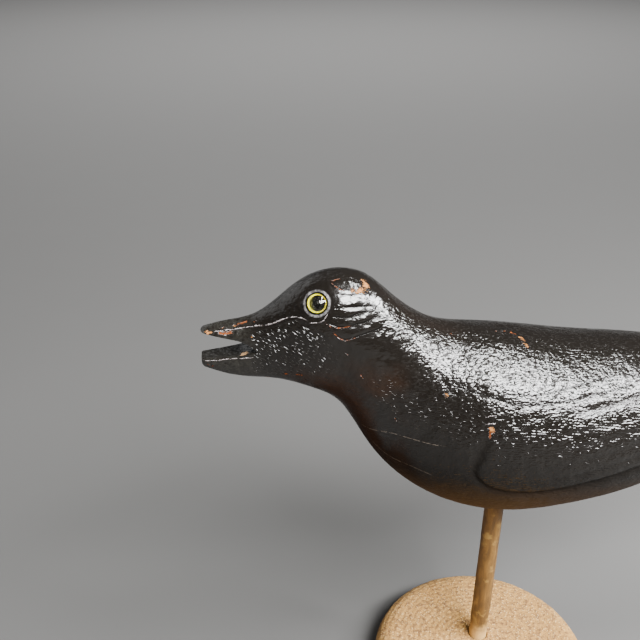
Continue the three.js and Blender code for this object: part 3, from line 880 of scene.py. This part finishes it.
def carved_crow():
    """The crow: the skin on a grid, carved on its left half, mirrored, made uneven by noise, then
    cut for the mouth, the eyes and the rod."""
    rows = skin_rows()
    turns = np.linspace(0, 180, COLUMNS_DOWN + 1)
    x, turn = np.meshgrid(rows, turns, indexing="ij")
    points = skin(x, turn)
    normal = skin_normal(np.clip(x, BEAK_TIP + 1, TAIL_TIP - 1), np.clip(turn, 1e-3, 180 - 1e-3))
    down = lengths(points)

    carved = smooth_depth(carved_depth(points))
    ring, front = eye_ring(points)
    dull = ring * (1 - front)
    relief = RING_HEIGHT * (ring - 0.92 * dull) - carved - cheek_nicks(x, turn, points)
    relief = relief - neck_ridges(x, turn, down, points)
    relief = relief - smooth_depth(sum(cut_along(points, knots, BEAD) for knots in BEADS))
    for spot in DENTS:
        relief = relief - dent(points, *spot)
    points = points + normal * relief[..., None]

    mirror = (1, -1, 1)
    points = np.concatenate([points, right_half(points) * mirror], axis=1)
    normal = np.concatenate([normal, right_half(normal) * mirror], axis=1)
    tip = smooth_step(SHARE * (x[:, :1] - BEAK_TIP), 0, 4 * MM)
    tip = tip * smooth_step(SHARE * (TAIL_TIP - x[:, :1]), 0, 4 * MM)
    uneven = KNIFE_DEPTH * (lattice_noise(points, KNIFE_SIZE, 1) - 0.5)
    uneven = uneven + FINE_DEPTH * (lattice_noise(points, FINE_SIZE, 2) - 0.5)
    points = points + normal * (uneven * tip)[..., None]

    masks = skin_masks(points[:, :COLUMNS_DOWN + 1], x, turn, carved, ring, dull)
    around = np.concatenate([down, -right_half(down), np.zeros((len(rows), 1))], axis=1)
    along = np.broadcast_to(SHARE * rows[:, None], around.shape)
    crow = closed_rows(
        "crow_carving", points, points[0].mean(0), points[-1].mean(0),
        uv=np.stack([along, around], -1), **masks,
    )
    cut_away(outward(crow), mouth_cutter(), socket_cutter(1), socket_cutter(-1), bore_cutter())
    crow.data.set_sharp_from_angle(angle=CROW_SHARP)
    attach(crow, "root")
    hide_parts("carved_crow")
    return crow


def eye(name, side):
    """A clear glass dome on a short seat, and in it the painted disc: yellow ring, black pupil."""
    middle, look = eye_place(side)
    ball = (EYE_RADIUS ** 2 + EYE_DOME ** 2) / (2 * EYE_DOME)
    reach = np.degrees(np.arcsin(EYE_RADIUS / ball))
    dome = arc((0, EYE_DOME - ball), ball, 90 - reach, 90, 26)
    profile = [(0, -EYE_SEAT), (EYE_RADIUS - CLEARANCE, -EYE_SEAT)]
    profile += [(EYE_RADIUS, CLEARANCE - EYE_SEAT)] + dome[:-1] + [(0, EYE_DOME)]
    glass = turned(name + "_glass", profile, 72, middle, look)
    radii = np.linspace(0, IRIS_RADIUS, 60)
    front = [(r, IRIS_LEVEL - IRIS_HOLLOW * (1 - (r / IRIS_RADIUS) ** 2)) for r in radii]
    low = IRIS_LEVEL - IRIS_HOLLOW - 0.3 * MM
    iris = turned(name + "_iris", front + [(IRIS_RADIUS, low), (0, low)], 96, middle, look)
    offset = corner_places(iris.data) - middle
    rearward = unit(np.array([1, 0, 0]) - look[0] * look)
    add_mask(iris.data, "ring", off_axis(offset, look) / MM)
    add_mask(iris.data, "pupil", off_axis(offset - PUPIL_ASIDE * rearward, look) / MM)
    add_mask(iris.data, "rearward", offset @ rearward / MM)
    for piece in (glass, iris):
        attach(piece, "root")
    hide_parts(name)
    return glass, iris


def dowel():
    """The rod: a round bar whose radius wavers a little."""
    height = rod_high.z - rod_low.z
    levels = np.linspace(rod_low.z, rod_high.z, int(height / ROD_ROW))
    spin = round_turns(96)
    z, angle = np.meshgrid(levels, spin, indexing="ij")
    circle = np.stack([np.cos(angle), np.sin(angle), 0 * z], -1)
    bare = ROD_RADIUS * circle + np.stack([0 * z, 0 * z, z], -1)
    waver = WAVER_DEPTH * (lattice_noise(bare * (1, 1, 0.35), WAVER_SIZE, 3) - 1)
    points = bare + circle * waver[..., None]
    top = np.array([0, 0, rod_high.z])
    low = np.array([0, 0, rod_low.z])
    rod = outward(closed_rows("stand_dowel", points, low, top))
    rod.data.set_sharp_from_angle(angle=ROUND_SHARP)
    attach(rod, "root")
    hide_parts("stand_rod")
    return rod


def base_outline():
    """Radius and height from under the foot, round the edge, over the top and down the hole."""
    outline = [(r, 0) for r in np.linspace(0, BASE_RADIUS - FOOT_ROUND, 14)[1:]]
    outline += arc((BASE_RADIUS - FOOT_ROUND, FOOT_ROUND), FOOT_ROUND, -90, 0, 8)[1:]
    outline += [(BASE_RADIUS, z) for z in np.linspace(FOOT_ROUND, EDGE_LEVEL, 14)[1:]]
    outline += arc((FLAT_RADIUS, EDGE_LEVEL), EDGE_ROUND, 0, 90, 34)[1:]
    outline += [(r, BASE_HEIGHT) for r in np.linspace(FLAT_RADIUS, HOLE_RADIUS + 0.8 * MM, 64)[1:]]
    rim_level = BASE_HEIGHT - RIM_ROUND
    outline += arc((HOLE_RADIUS + RIM_ROUND, rim_level), RIM_ROUND, 90, 180, 4)[1:]
    outline += [(HOLE_RADIUS, z) for z in np.linspace(rim_level, HOLE_FLOOR, 18)[1:]]
    return np.transpose(outline + [(0.5 * HOLE_RADIUS, HOLE_FLOOR)])


def base():
    """The base: rings through its outline, whose middles slide from the base's middle to the rod
    over the flat top, with turned rings on the top and grains from above the foot."""
    radius, height = base_outline()
    spin = round_turns(BASE_COLUMNS)
    on_top = (height > BASE_HEIGHT - 0.6 * MM) & (radius < FLAT_RADIUS)
    slide = np.where(on_top, (FLAT_RADIUS - radius) / (FLAT_RADIUS - HOLE_RADIUS), 0)
    slide = np.where((radius <= HOLE_RADIUS) & (height > 0.1 * MM), 1, np.clip(slide, 0, 1))
    middle_y = BASE_MIDDLE_Y * (1 - slide)
    points = np.stack([
        radius[:, None] * np.cos(spin),
        middle_y[:, None] + radius[:, None] * np.sin(spin),
        np.broadcast_to(height[:, None], (len(radius), BASE_COLUMNS)),
    ], -1)
    out_y = points[..., 1] - BASE_MIDDLE_Y
    from_middle = np.hypot(points[..., 0], out_y)
    up = np.clip((height - EDGE_LEVEL) / EDGE_ROUND, 0, 1)[:, None]
    outer = (height > FOOT_ROUND) & (radius > HOLE_RADIUS + 1.5 * MM)
    ring = np.sin(2 * np.pi * from_middle / RING_SPACING + 2 * lattice_noise(points, 30 * MM, 4))
    ring_part = smooth_step(from_middle, 12 * MM, 26 * MM) * TURNING_DEPTH * (0.5 + 0.5 * ring)
    grain = GRAIN_DEPTH * (1 - lattice_noise(points, GRAIN_SIZE, 9))
    drop = outer[:, None] * (ring_part * up + grain)
    sideways = np.stack([points[..., 0], out_y, 0 * out_y], -1)
    sideways = sideways / np.maximum(from_middle, MM)[..., None]
    tilt = np.arcsin(up)[..., None]
    points = points - drop[..., None] * (np.cos(tilt) * sideways + np.sin(tilt) * (0, 0, 1))
    foot = outward(closed_rows("sanded_base", points, (0, BASE_MIDDLE_Y, 0), (0, 0, HOLE_FLOOR)))
    foot.data.set_sharp_from_angle(angle=ROUND_SHARP)
    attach(foot, "root")
    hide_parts("round_base")
    return foot


def math_node(operation, swapped=False):
    """A method that adds a Math node of a value, and of a second one where there is one."""
    def method(self, *other):
        values = (*other, self) if swapped else (self, *other)
        settings = {"operation": operation}
        return self.shader.node("ShaderNodeMath", settings, dict(enumerate(values)))

    return method


class Value:
    """A socket of a material's nodes that takes part in sums: each operator adds a Math node."""

    def __init__(self, shader, socket):
        self.shader = shader
        self.socket = socket

    __add__ = __radd__ = math_node("ADD")
    __sub__ = math_node("SUBTRACT")
    __rsub__ = math_node("SUBTRACT", swapped=True)
    __mul__ = __rmul__ = math_node("MULTIPLY")
    __truediv__ = math_node("DIVIDE")
    __rtruediv__ = math_node("DIVIDE", swapped=True)
    absolute = math_node("ABSOLUTE")
    sine = math_node("SINE")

    def step(self, start, end):
        """0 before start, 1 past end, smooth between them."""
        ranged = {"interpolation_type": "SMOOTHSTEP"}
        return self.shader.node("ShaderNodeMapRange", ranged, {0: self, 1: start, 2: end})


class Finish:
    """One procedural material: its nodes, and its Principled shader."""

    def __init__(self, name):
        self.material = bpy.data.materials.new(name)
        self.material.use_nodes = True
        self.tree = self.material.node_tree
        self.principled = self.tree.nodes["Principled BSDF"]
        self.place = self.node("ShaderNodeTexCoord", output="Object")

    def node(self, kind, settings=None, sockets=None, output=0):
        """Any node: its settings first, then the values or links of its sockets."""
        made = self.tree.nodes.new(kind)
        for key, value in (settings or {}).items():
            if key == "stops":
                self._stops(made.color_ramp, value)
            else:
                setattr(made, key, value)
        for key, value in (sockets or {}).items():
            self._feed(made.inputs[key], value)
        return Value(self, made.outputs[output])

    def _stops(self, ramp, stops):
        while len(ramp.elements) < len(stops):
            ramp.elements.new(1)
        for element, (position, colour) in zip(ramp.elements, stops):
            element.position = position
            element.color = (*colour, 1)

    def _feed(self, socket, value):
        if isinstance(value, Value):
            self.tree.links.new(value.socket, socket)
        elif isinstance(value, tuple) and len(value) == 3 and socket.type == "RGBA":
            socket.default_value = (*value, 1)
        else:
            socket.default_value = value

    def shader(self, sockets):
        """Sets or links the Principled shader's sockets."""
        for key, value in sockets.items():
            self._feed(self.principled.inputs[key], value)
        return self.material

    def matt_over(self, mask, sockets):
        """Lays a second Principled shader over the first one where the mask is 1."""
        matt = self.node("ShaderNodeBsdfPrincipled", None, sockets)
        glossy = Value(self, self.principled.outputs[0])
        surface = self.node("ShaderNodeMixShader", None, {0: mask, 1: glossy, 2: matt})
        self._feed(self.tree.nodes["Material Output"].inputs["Surface"], surface)

    def attribute(self, name):
        return self.node("ShaderNodeAttribute", {"attribute_name": name}, output="Fac")

    def part(self, axis, at=None):
        """One coordinate of a place: X, Y or Z."""
        return self.node("ShaderNodeSeparateXYZ", None, {0: at or self.place}, output=axis)

    def stretched(self, *scale, at=None, turn=(0, 0, 0), shift=(0, 0, 0)):
        """A place whose coordinates are multiplied, then turned by degrees, then shifted."""
        sockets = {0: at or self.place, 1: shift, 2: tuple(np.radians(turn)), 3: scale}
        return self.node("ShaderNodeMapping", None, sockets)

    def length(self, place):
        return self.node("ShaderNodeVectorMath", {"operation": "LENGTH"}, {0: place},
                         output="Value")

    def noise(self, size, detail=2.0, roughness=0.5, distortion=0.0, at=None):
        """Noise from 0 to 1 whose lumps are about that size in millimetres."""
        sockets = {"Vector": at or self.place, "Scale": 1 / (size * MM), "Detail": detail,
                   "Roughness": roughness, "Distortion": distortion}
        return self.node("ShaderNodeTexNoise", None, sockets)

    def cells(self, scale, randomness=1.0, at=None, dimensions="3D"):
        """The distance to the nearest of scattered points, one in each cell of a lattice."""
        sockets = {"Vector": at or self.place, "Scale": scale, "Randomness": randomness}
        return self.node("ShaderNodeTexVoronoi", {"voronoi_dimensions": dimensions}, sockets)

    def ramp(self, value, *stops):
        return self.node("ShaderNodeValToRGB", {"stops": stops}, {0: value})

    def mix(self, mask, first, second):
        """The first colour where the mask is 0, the second where it is 1."""
        settings = {"data_type": "RGBA", "clamp_factor": True}
        return self.node("ShaderNodeMix", settings, {0: mask, 6: first, 7: second}, output=2)

    def layers(self, colour, *others):
        """Colours laid over a first one, each where its mask is 1."""
        for mask, other in others:
            colour = self.mix(mask, colour, other)
        return colour

    def bumps(self, *heights):
        """A normal from heights of 0 to 1, each of which stands for its number of millimetres."""
        above = {}
        for height, depth in heights:
            sockets = {"Height": height, "Distance": depth * MM, **above}
            above = {"Normal": self.node("ShaderNodeBump", None, sockets)}
        return above["Normal"]


BLACK_PAINT = (0.0048, 0.0039, 0.0031)
BROWN_PAINT = (0.017, 0.007, 0.0028)
GREEN_GREY_BILL = (0.018, 0.0176, 0.0148)
# Painted light: an olive tint that stands for warm light reflected up onto the underside.
PAINTED_UNDERSIDE_BOUNCE = (0.08, 0.044, 0.020)
PUTTY_GREY = (0.13, 0.127, 0.132)
ORANGE_WOOD = (0.19, 0.045, 0.006)
TAN_WOOD = (0.31, 0.13, 0.036)
PALE_WOOD = (0.42, 0.24, 0.11)
SCRATCH_TAN_AND_GLINT = (0.10, 0.085, 0.07)
# Painted highlight: the light grey of the glint on the nicks and flecks.
PAINTED_GLINT_GREY = (0.042, 0.041, 0.0395)
# Painted highlight: the pinkish white of thin lines that catch the light.
PAINTED_HIGHLIGHT_PINK = (0.44, 0.40, 0.41)
DARK_WOOD = (0.04, 0.012, 0.004)


def line_on(along, down, knots, width):
    """A thin line, 1 on it: where the length down the skin is the one that a ramp gives for the
    length along it. The knots are x and turn, the width is a half one."""
    knots = np.array(knots, float)
    x = np.linspace(knots[0, 0], knots[-1, 0], LINE_STOPS)
    turn = natural_spline(knots[:, 0], knots[:, 1])(x)[:, 0]
    downs = np.array([length_down(*spot) for spot in zip(x, turn)])
    start, reach = SHARE * x[0], SHARE * (x[-1] - x[0])
    share = (along - start) / reach
    lowest, span = downs.min(), np.ptp(downs)
    stops = [((SHARE * a - start) / reach, (b, b, b)) for a, b in zip(x, (downs - lowest) / span)]
    level = lowest + span * along.shader.ramp(share, *stops)
    apart = (down - level).absolute()
    inside = share.step(0, 0.08) * (1 - share.step(0.9, 1))
    return inside * (1 - apart.step(0.3 * width, width))


def lines_on(along, down, lines, width):
    """Several thin lines in one mask."""
    return sum(line_on(along, down, knots, width) for knots in lines)


def spot_sets(paint, place, cell, count, rows_on, looseness):
    """The distance to the nearest spot in each of several sets of spots. A set has one spot in
    each cell of that length and height, and lies a share of a cell on from the set before."""
    sets = []
    for k in range(count):
        shift = (k / count, rows_on * k, 0)
        spots = paint.stretched(1 / cell[0], 1 / cell[1], 1, at=place, shift=shift)
        sets.append(paint.cells(1, looseness, at=spots, dimensions="2D"))
    return sets


def over_belly(paint, start, end):
    """0 up to start, 1 from end on, in millimetres over the lowest point of the belly."""
    return paint.part("Z").step(BELLY_LEVEL + start * MM, BELLY_LEVEL + end * MM)


def toward_tail(paint, start, end):
    """0 up to start, 1 from end on, in the crow's own measure of x."""
    return paint.part("X").step(SHARE * start, SHARE * end)


def nick_marks(paint, cheek, stipple):
    """The nicks on the cheek and the level flecks on the breast: how hollow, and where a glint is
    painted on them in light grey.
    """
    sloping = paint.stretched(1, 1, 1, turn=(90, 0, -NICK_SLOPE))
    nick_cell = (5 * NICK_LENGTH, NICK_ROW)
    spots = spot_sets(paint, sloping, nick_cell, NICK_SETS, 5 + 1 / NICK_SETS, 0.7)
    nicks = sum(1 - near.step(0.02, 0.13) for near in spots)
    painted_glints = sum(1 - near.step(0.03, 0.075) for near in spots)
    level = paint.stretched(1, 1, 1, turn=(90, 0, -FLECK_SLOPE))
    spots = spot_sets(paint, level, (FLECK_LENGTH, FLECK_ROW), 2, 7, 0.9)
    flecks = paint.attribute("flecked") * sum(1 - near.step(0.05, 0.11) for near in spots)
    return cheek * nicks + flecks, (cheek * painted_glints + 0.8 * flecks) * stipple.step(0.34, 0.5)


def bill_spot(paint, torn):
    """A ragged spot on the floor of the mouth: the inside of an ellipsoid."""
    size = np.array(BILL_SPOT_SIZE) * MM
    shift = tuple(-(skin(*BILL_SPOT) + (0, BILL_SPOT_INWARD, 0)) / size)
    apart = paint.length(paint.stretched(*(1 / size), shift=shift))
    return 1 - (apart + 1.5 * torn).step(0.7, 0.95)


def bare_wood(paint, streak, mottle, bill):
    """Orange or tan wood with dark streaks, darker on the bill."""
    pale = (paint.attribute("pale") + 0.8 * (mottle - 0.5)).step(0.3, 0.6)
    return paint.layers(
        ORANGE_WOOD, (pale, TAN_WOOD), (0.75 * streak.step(0.5, 0.64), DARK_WOOD),
        (0.42 * bill * (1 - pale), DARK_WOOD),
    )


def crow_paint():
    """Glossy black paint, stippled, streaked and nicked, worn to orange and tan wood in places,
    with matt paint over it on the underside and where it is worn, brown or hollow. Painted light
    in it: a glint on the nicks and flecks, thin highlight lines, and warm reflected light below."""
    paint = Finish("crow_paint")
    skin_map = paint.node("ShaderNodeUVMap", {"uv_map": "skin"})
    along = paint.part("X", skin_map)
    around = paint.part("Y", skin_map)
    streak = paint.noise(1.6, 2, 0.5, 0.3, at=paint.stretched(0.3, 1, 1))
    stipple = paint.noise(1.15, 1, 0.4, 0.4, at=paint.stretched(0.6, 1, 1))
    lumps = paint.noise(3.4, 2)
    broad = paint.noise(9, 2)
    patches = paint.noise(22, 3)
    mottle = paint.noise(1.6, 3, 0.7)
    torn = paint.noise(1.8, 5, 0.75, 0.6) - 0.5

    cheek = paint.attribute("cheek")
    bill = 1 - toward_tail(paint, -395, -352)
    brown = paint.attribute("brown") * patches.step(0.3, 0.6)
    lid = paint.attribute("lid").step(0.4, 0.85) * (0.2 + 0.8 * torn.step(-0.04, 0.05))
    scratches_and_glint = lines_on(along, around, SCRATCHES, SCRATCH_WIDTH) * stipple.step(0.35, 0.5)
    nicks, painted_glints = nick_marks(paint, cheek, stipple)
    engraved = lines_on(along, around.absolute(), EAR_LINES + SHOULDER_LINES, ENGRAVED_WIDTH)
    shaky = around + 2.2 * MM * torn
    painted_highlight = lines_on(along, shaky, PAINTED_HIGHLIGHT_LINES, PAINTED_HIGHLIGHT_WIDTH) * torn.step(-0.07, 0.05)
    lips = lines_on(along, shaky, ORANGE_LINES, ORANGE_WIDTH) * mottle.step(0.44, 0.54)
    worn = (0.8 * paint.attribute("worn") + 1.6 * torn).step(0.42, 0.54)
    bare = worn + lips * (1 - worn)
    colour = paint.layers(
        BLACK_PAINT,
        (brown, BROWN_PAINT),
        (0.8 * bill * mottle.step(0.3, 0.7), GREEN_GREY_BILL),
        # Painted reflected light: olive on the underside, full up to 6 mm over the belly's lowest
        # point, gone by 44 mm.
        (0.8 * (1 - over_belly(paint, 6, 44)), PAINTED_UNDERSIDE_BOUNCE),
        (lid, PUTTY_GREY),
        # Pale scratched paint, lightened further by a painted glint along the scratches.
        (scratches_and_glint, SCRATCH_TAN_AND_GLINT),
        # Painted highlight: a light grey glint on the nicks and flecks.
        (painted_glints, PAINTED_GLINT_GREY),
        # Painted highlight: pinkish white lines along the ridges and edges.
        (0.9 * painted_highlight, PAINTED_HIGHLIGHT_PINK),
        (bare, bare_wood(paint, streak, mottle, bill)),
        (bill_spot(paint, torn), PALE_WOOD),
    )

    comb = (around * (2 * np.pi / BARB_SPACING) + 9 * broad).sine()
    comb = paint.attribute("wing") * (0.5 + 0.5 * comb) * lumps.step(0.35, 0.6)
    rugged = (1 - 0.75 * paint.attribute("calm")) * (1 - 0.5 * cheek)
    normal = paint.bumps(
        (rugged * stipple, 0.35), (rugged * streak, 0.26), (rugged * lumps, 0.32), (broad, 1.1),
        (comb, 0.13), (1 - nicks, 0.13), (1 - engraved, 0.8), (painted_highlight - bare, 0.15),
    )

    hollow = paint.attribute("hollow")
    rough = 0.10 + 0.12 * lumps + 0.6 * bare + 0.15 * hollow + 0.3 * (1 - over_belly(paint, 0, 50))
    on_back = over_belly(paint, 75, 95) * toward_tail(paint, -190, -165)
    matt = 0.92 * (1 - over_belly(paint, 25, 78)) + 0.85 * bare + 0.5 * hollow + 0.6 * lid
    matt = matt + 1.6 * paint.attribute("dull") + 0.9 * brown
    matt = matt + 0.9 * on_back * stipple.step(0.56, 0.62)
    looks = {"Base Color": colour, "Normal": normal}
    paint.matt_over(matt, {**looks, "Roughness": 0.75, "Specular IOR Level": 0.1})
    return paint.shader({**looks, "Roughness": rough, "Specular IOR Level": 0.6})


def eye_glass():
    """Clear glass."""
    glass = Finish("eye_glass_clear")
    clear = {"Base Color": (1, 1, 1), "Roughness": 0, "IOR": 1.48, "Transmission Weight": 1}
    return glass.shader(clear)


def iris_paint_and_glow():
    """Painted bands by distance in millimetres: a black pupil with an olive glow at its front, a
    yellow ring that is duller toward the rear, a black rim. The disc also glows faintly in its own
    colour: painted light, for the lamp light that the glass dome keeps from it."""
    paint = Finish("iris_paint_and_glow")
    pupil = paint.attribute("pupil")
    rearward = paint.attribute("rearward")
    glow = (1 - rearward.step(-3, -0.5)) * pupil.step(1.8, 3.4)
    dark = paint.mix(0.8 * glow, (0.004, 0.004, 0.003), (0.06, 0.06, 0.006))
    yellow = paint.mix(rearward.step(-2, 5), (0.88, 0.82, 0.0), (0.50, 0.41, 0.02))
    colour = paint.mix(pupil.step(3.8, 3.98), dark, yellow)
    colour = paint.mix(paint.attribute("ring").step(4.6, 4.85), colour, (0.012, 0.012, 0.006))
    # Painted light: the disc emits its own colour, since the glass dome blocks the lamps' direct
    # light.
    return paint.shader({"Base Color": colour, "Roughness": 0.6, "Specular IOR Level": 0.1,
                         "Emission Color": colour, "Emission Strength": 0.8})


def dowel_wood():
    """Stained dowel: long mottled streaks of olive and brown, golden patches, sand at the foot."""
    wood = Finish("dowel_wood")
    along = wood.stretched(1, 1, 0.22)
    streak = wood.noise(3.2, 4, 0.6, 0.5, at=along)
    patch = wood.noise(7, 3, 0.6)
    colour = wood.ramp(
        streak, (0.3, (0.056, 0.028, 0.007)), (0.46, (0.092, 0.045, 0.009)),
        (0.58, (0.128, 0.064, 0.013)), (0.72, (0.175, 0.092, 0.021)),
    )
    colour = wood.mix(0.85 * patch.step(0.54, 0.68), colour, (0.22, 0.13, 0.032))
    low_end = BASE_HEIGHT + 1.5 * MM
    sand = (wood.part("Z") + 9 * MM * (wood.noise(4, 2) - 0.5)).step(low_end, low_end + 14 * MM)
    sand = 1 - sand
    colour = wood.mix(0.9 * sand, colour, (0.50, 0.31, 0.105))
    grain = wood.noise(0.8, 2, 0.6)
    normal = wood.bumps((streak, 0.25), (grain, 0.14))
    return wood.shader({"Base Color": colour, "Roughness": 0.6 + 0.25 * sand, "Normal": normal})


def base_sand():
    """Pale sanded wood with a crust of fine grains, lighter and darker, and turned rings."""
    sand = Finish("base_sand")
    grain = sand.noise(1.2, 3, 0.7)
    coarse = sand.noise(2.9, 3, 0.7)
    speck = sand.cells(1 / (1.9 * MM))
    cloud = sand.noise(18, 3)
    centre = sand.stretched(1, 1, 0, shift=(0, -BASE_MIDDLE_Y, 0))
    rings = 0.5 + 0.5 * (sand.length(centre) * (2 * np.pi / RING_SPACING) + 2.5 * cloud).sine()
    colour = sand.layers(
        sand.mix(cloud.step(0.35, 0.7), (0.33, 0.175, 0.042), (0.37, 0.205, 0.056)),
        (0.6 * rings * coarse.step(0.3, 0.55), (0.22, 0.105, 0.028)),
        (0.95 * coarse.step(0.5, 0.64), (0.145, 0.07, 0.022)),
        (0.85 * grain.step(0.56, 0.70), (0.07, 0.035, 0.013)),
        (0.65 * (1 - speck.step(0.14, 0.34)), (0.56, 0.38, 0.17)),
    )
    normal = sand.bumps((coarse, 0.8), (grain, 0.5), (1 - speck.step(0.1, 0.5), 0.2))
    return sand.shader({"Base Color": colour, "Roughness": 0.92, "Normal": normal})


def pale_floor():
    """A pale floor with faint clouds."""
    floor = Finish("pale_floor")
    colour = floor.mix(0.25 * floor.noise(60, 4), (0.074, 0.073, 0.071), (0.064, 0.063, 0.0615))
    return floor.shader({"Base Color": colour, "Roughness": 0.8})


def dress(piece, material):
    """Gives a piece one material."""
    piece.data.materials.clear()
    piece.data.materials.append(material)


def camera():
    """The photograph's view: yaw from +Y toward +X, pitch down, and a slight roll."""
    yaw, pitch, roll = np.radians(CAMERA_TURN)
    level = np.array([np.sin(yaw), np.cos(yaw), 0])
    right = np.array([np.cos(yaw), -np.sin(yaw), 0])
    ahead = level * np.cos(pitch) - np.array([0, 0, np.sin(pitch)])
    down = -(level * np.sin(pitch) + np.array([0, 0, np.cos(pitch)]))
    across = np.cos(roll) * right - np.sin(roll) * down
    below = np.cos(roll) * down + np.sin(roll) * right
    data = bpy.data.cameras.new("camera")
    data.sensor_width = 36
    data.lens = CAMERA_FOCUS_PX / PHOTO_PX * data.sensor_width
    made = bpy.data.objects.new("camera", data)
    columns = np.column_stack([across, -below, -ahead, CAMERA_PLACE])
    made.matrix_world = Matrix([*columns.tolist(), (0, 0, 0, 1)])
    bpy.context.scene.collection.objects.link(made)
    bpy.context.scene.camera = made


def soft_light(name, way, distance, size, power, target=(0, 0, BELLY_LEVEL + 0.06)):
    """A rectangular soft box that way from its target, looking back at it."""
    data = bpy.data.lights.new(name, "AREA")
    data.shape = "RECTANGLE"
    data.size, data.size_y = size
    data.energy = power
    light = bpy.data.objects.new(name, data)
    way = Vector(way).normalized()
    light.location = Vector(target) + way * distance
    light.rotation_euler = way.to_track_quat("Z", "Y").to_euler()
    bpy.context.scene.collection.objects.link(light)
    return light


def studio():
    """A pale floor, a dim even surrounding light and soft boxes."""
    side = FLOOR_SIZE / 2
    mesh = bpy.data.meshes.new("floor")
    corners = [(-side, -side, 0), (side, -side, 0), (side, side, 0), (-side, side, 0)]
    mesh.from_pydata(corners, [], [(0, 1, 2, 3)])
    floor = bpy.data.objects.new("floor", mesh)
    bpy.context.scene.collection.objects.link(floor)
    dress(floor, pale_floor())
    world = bpy.data.worlds.new("surrounding")
    world.use_nodes = True
    sky = world.node_tree.nodes["Background"]
    sky.inputs["Color"].default_value = (0.58, 0.58, 0.60, 1)
    sky.inputs["Strength"].default_value = 0.15
    bpy.context.scene.world = world
    for light in SOFT_LIGHTS:
        soft_light(*light)
    far = soft_light(*FAR_LIGHT)
    far.data.spread = np.radians(80)
    low = soft_light(*LOW_LIGHT)
    low.data.color = (1, 0.72, 0.42)
    low.visible_glossy = False


camera()
studio()
crow = carved_crow()
dress(crow, crow_paint())
clear = eye_glass()
painted = iris_paint_and_glow()
for eye_name, eye_side in (("left_eye", 1), ("right_eye", -1)):
    glass, iris = eye(eye_name, eye_side)
    dress(glass, clear)
    dress(iris, painted)
dress(dowel(), dowel_wood())
dress(base(), base_sand())
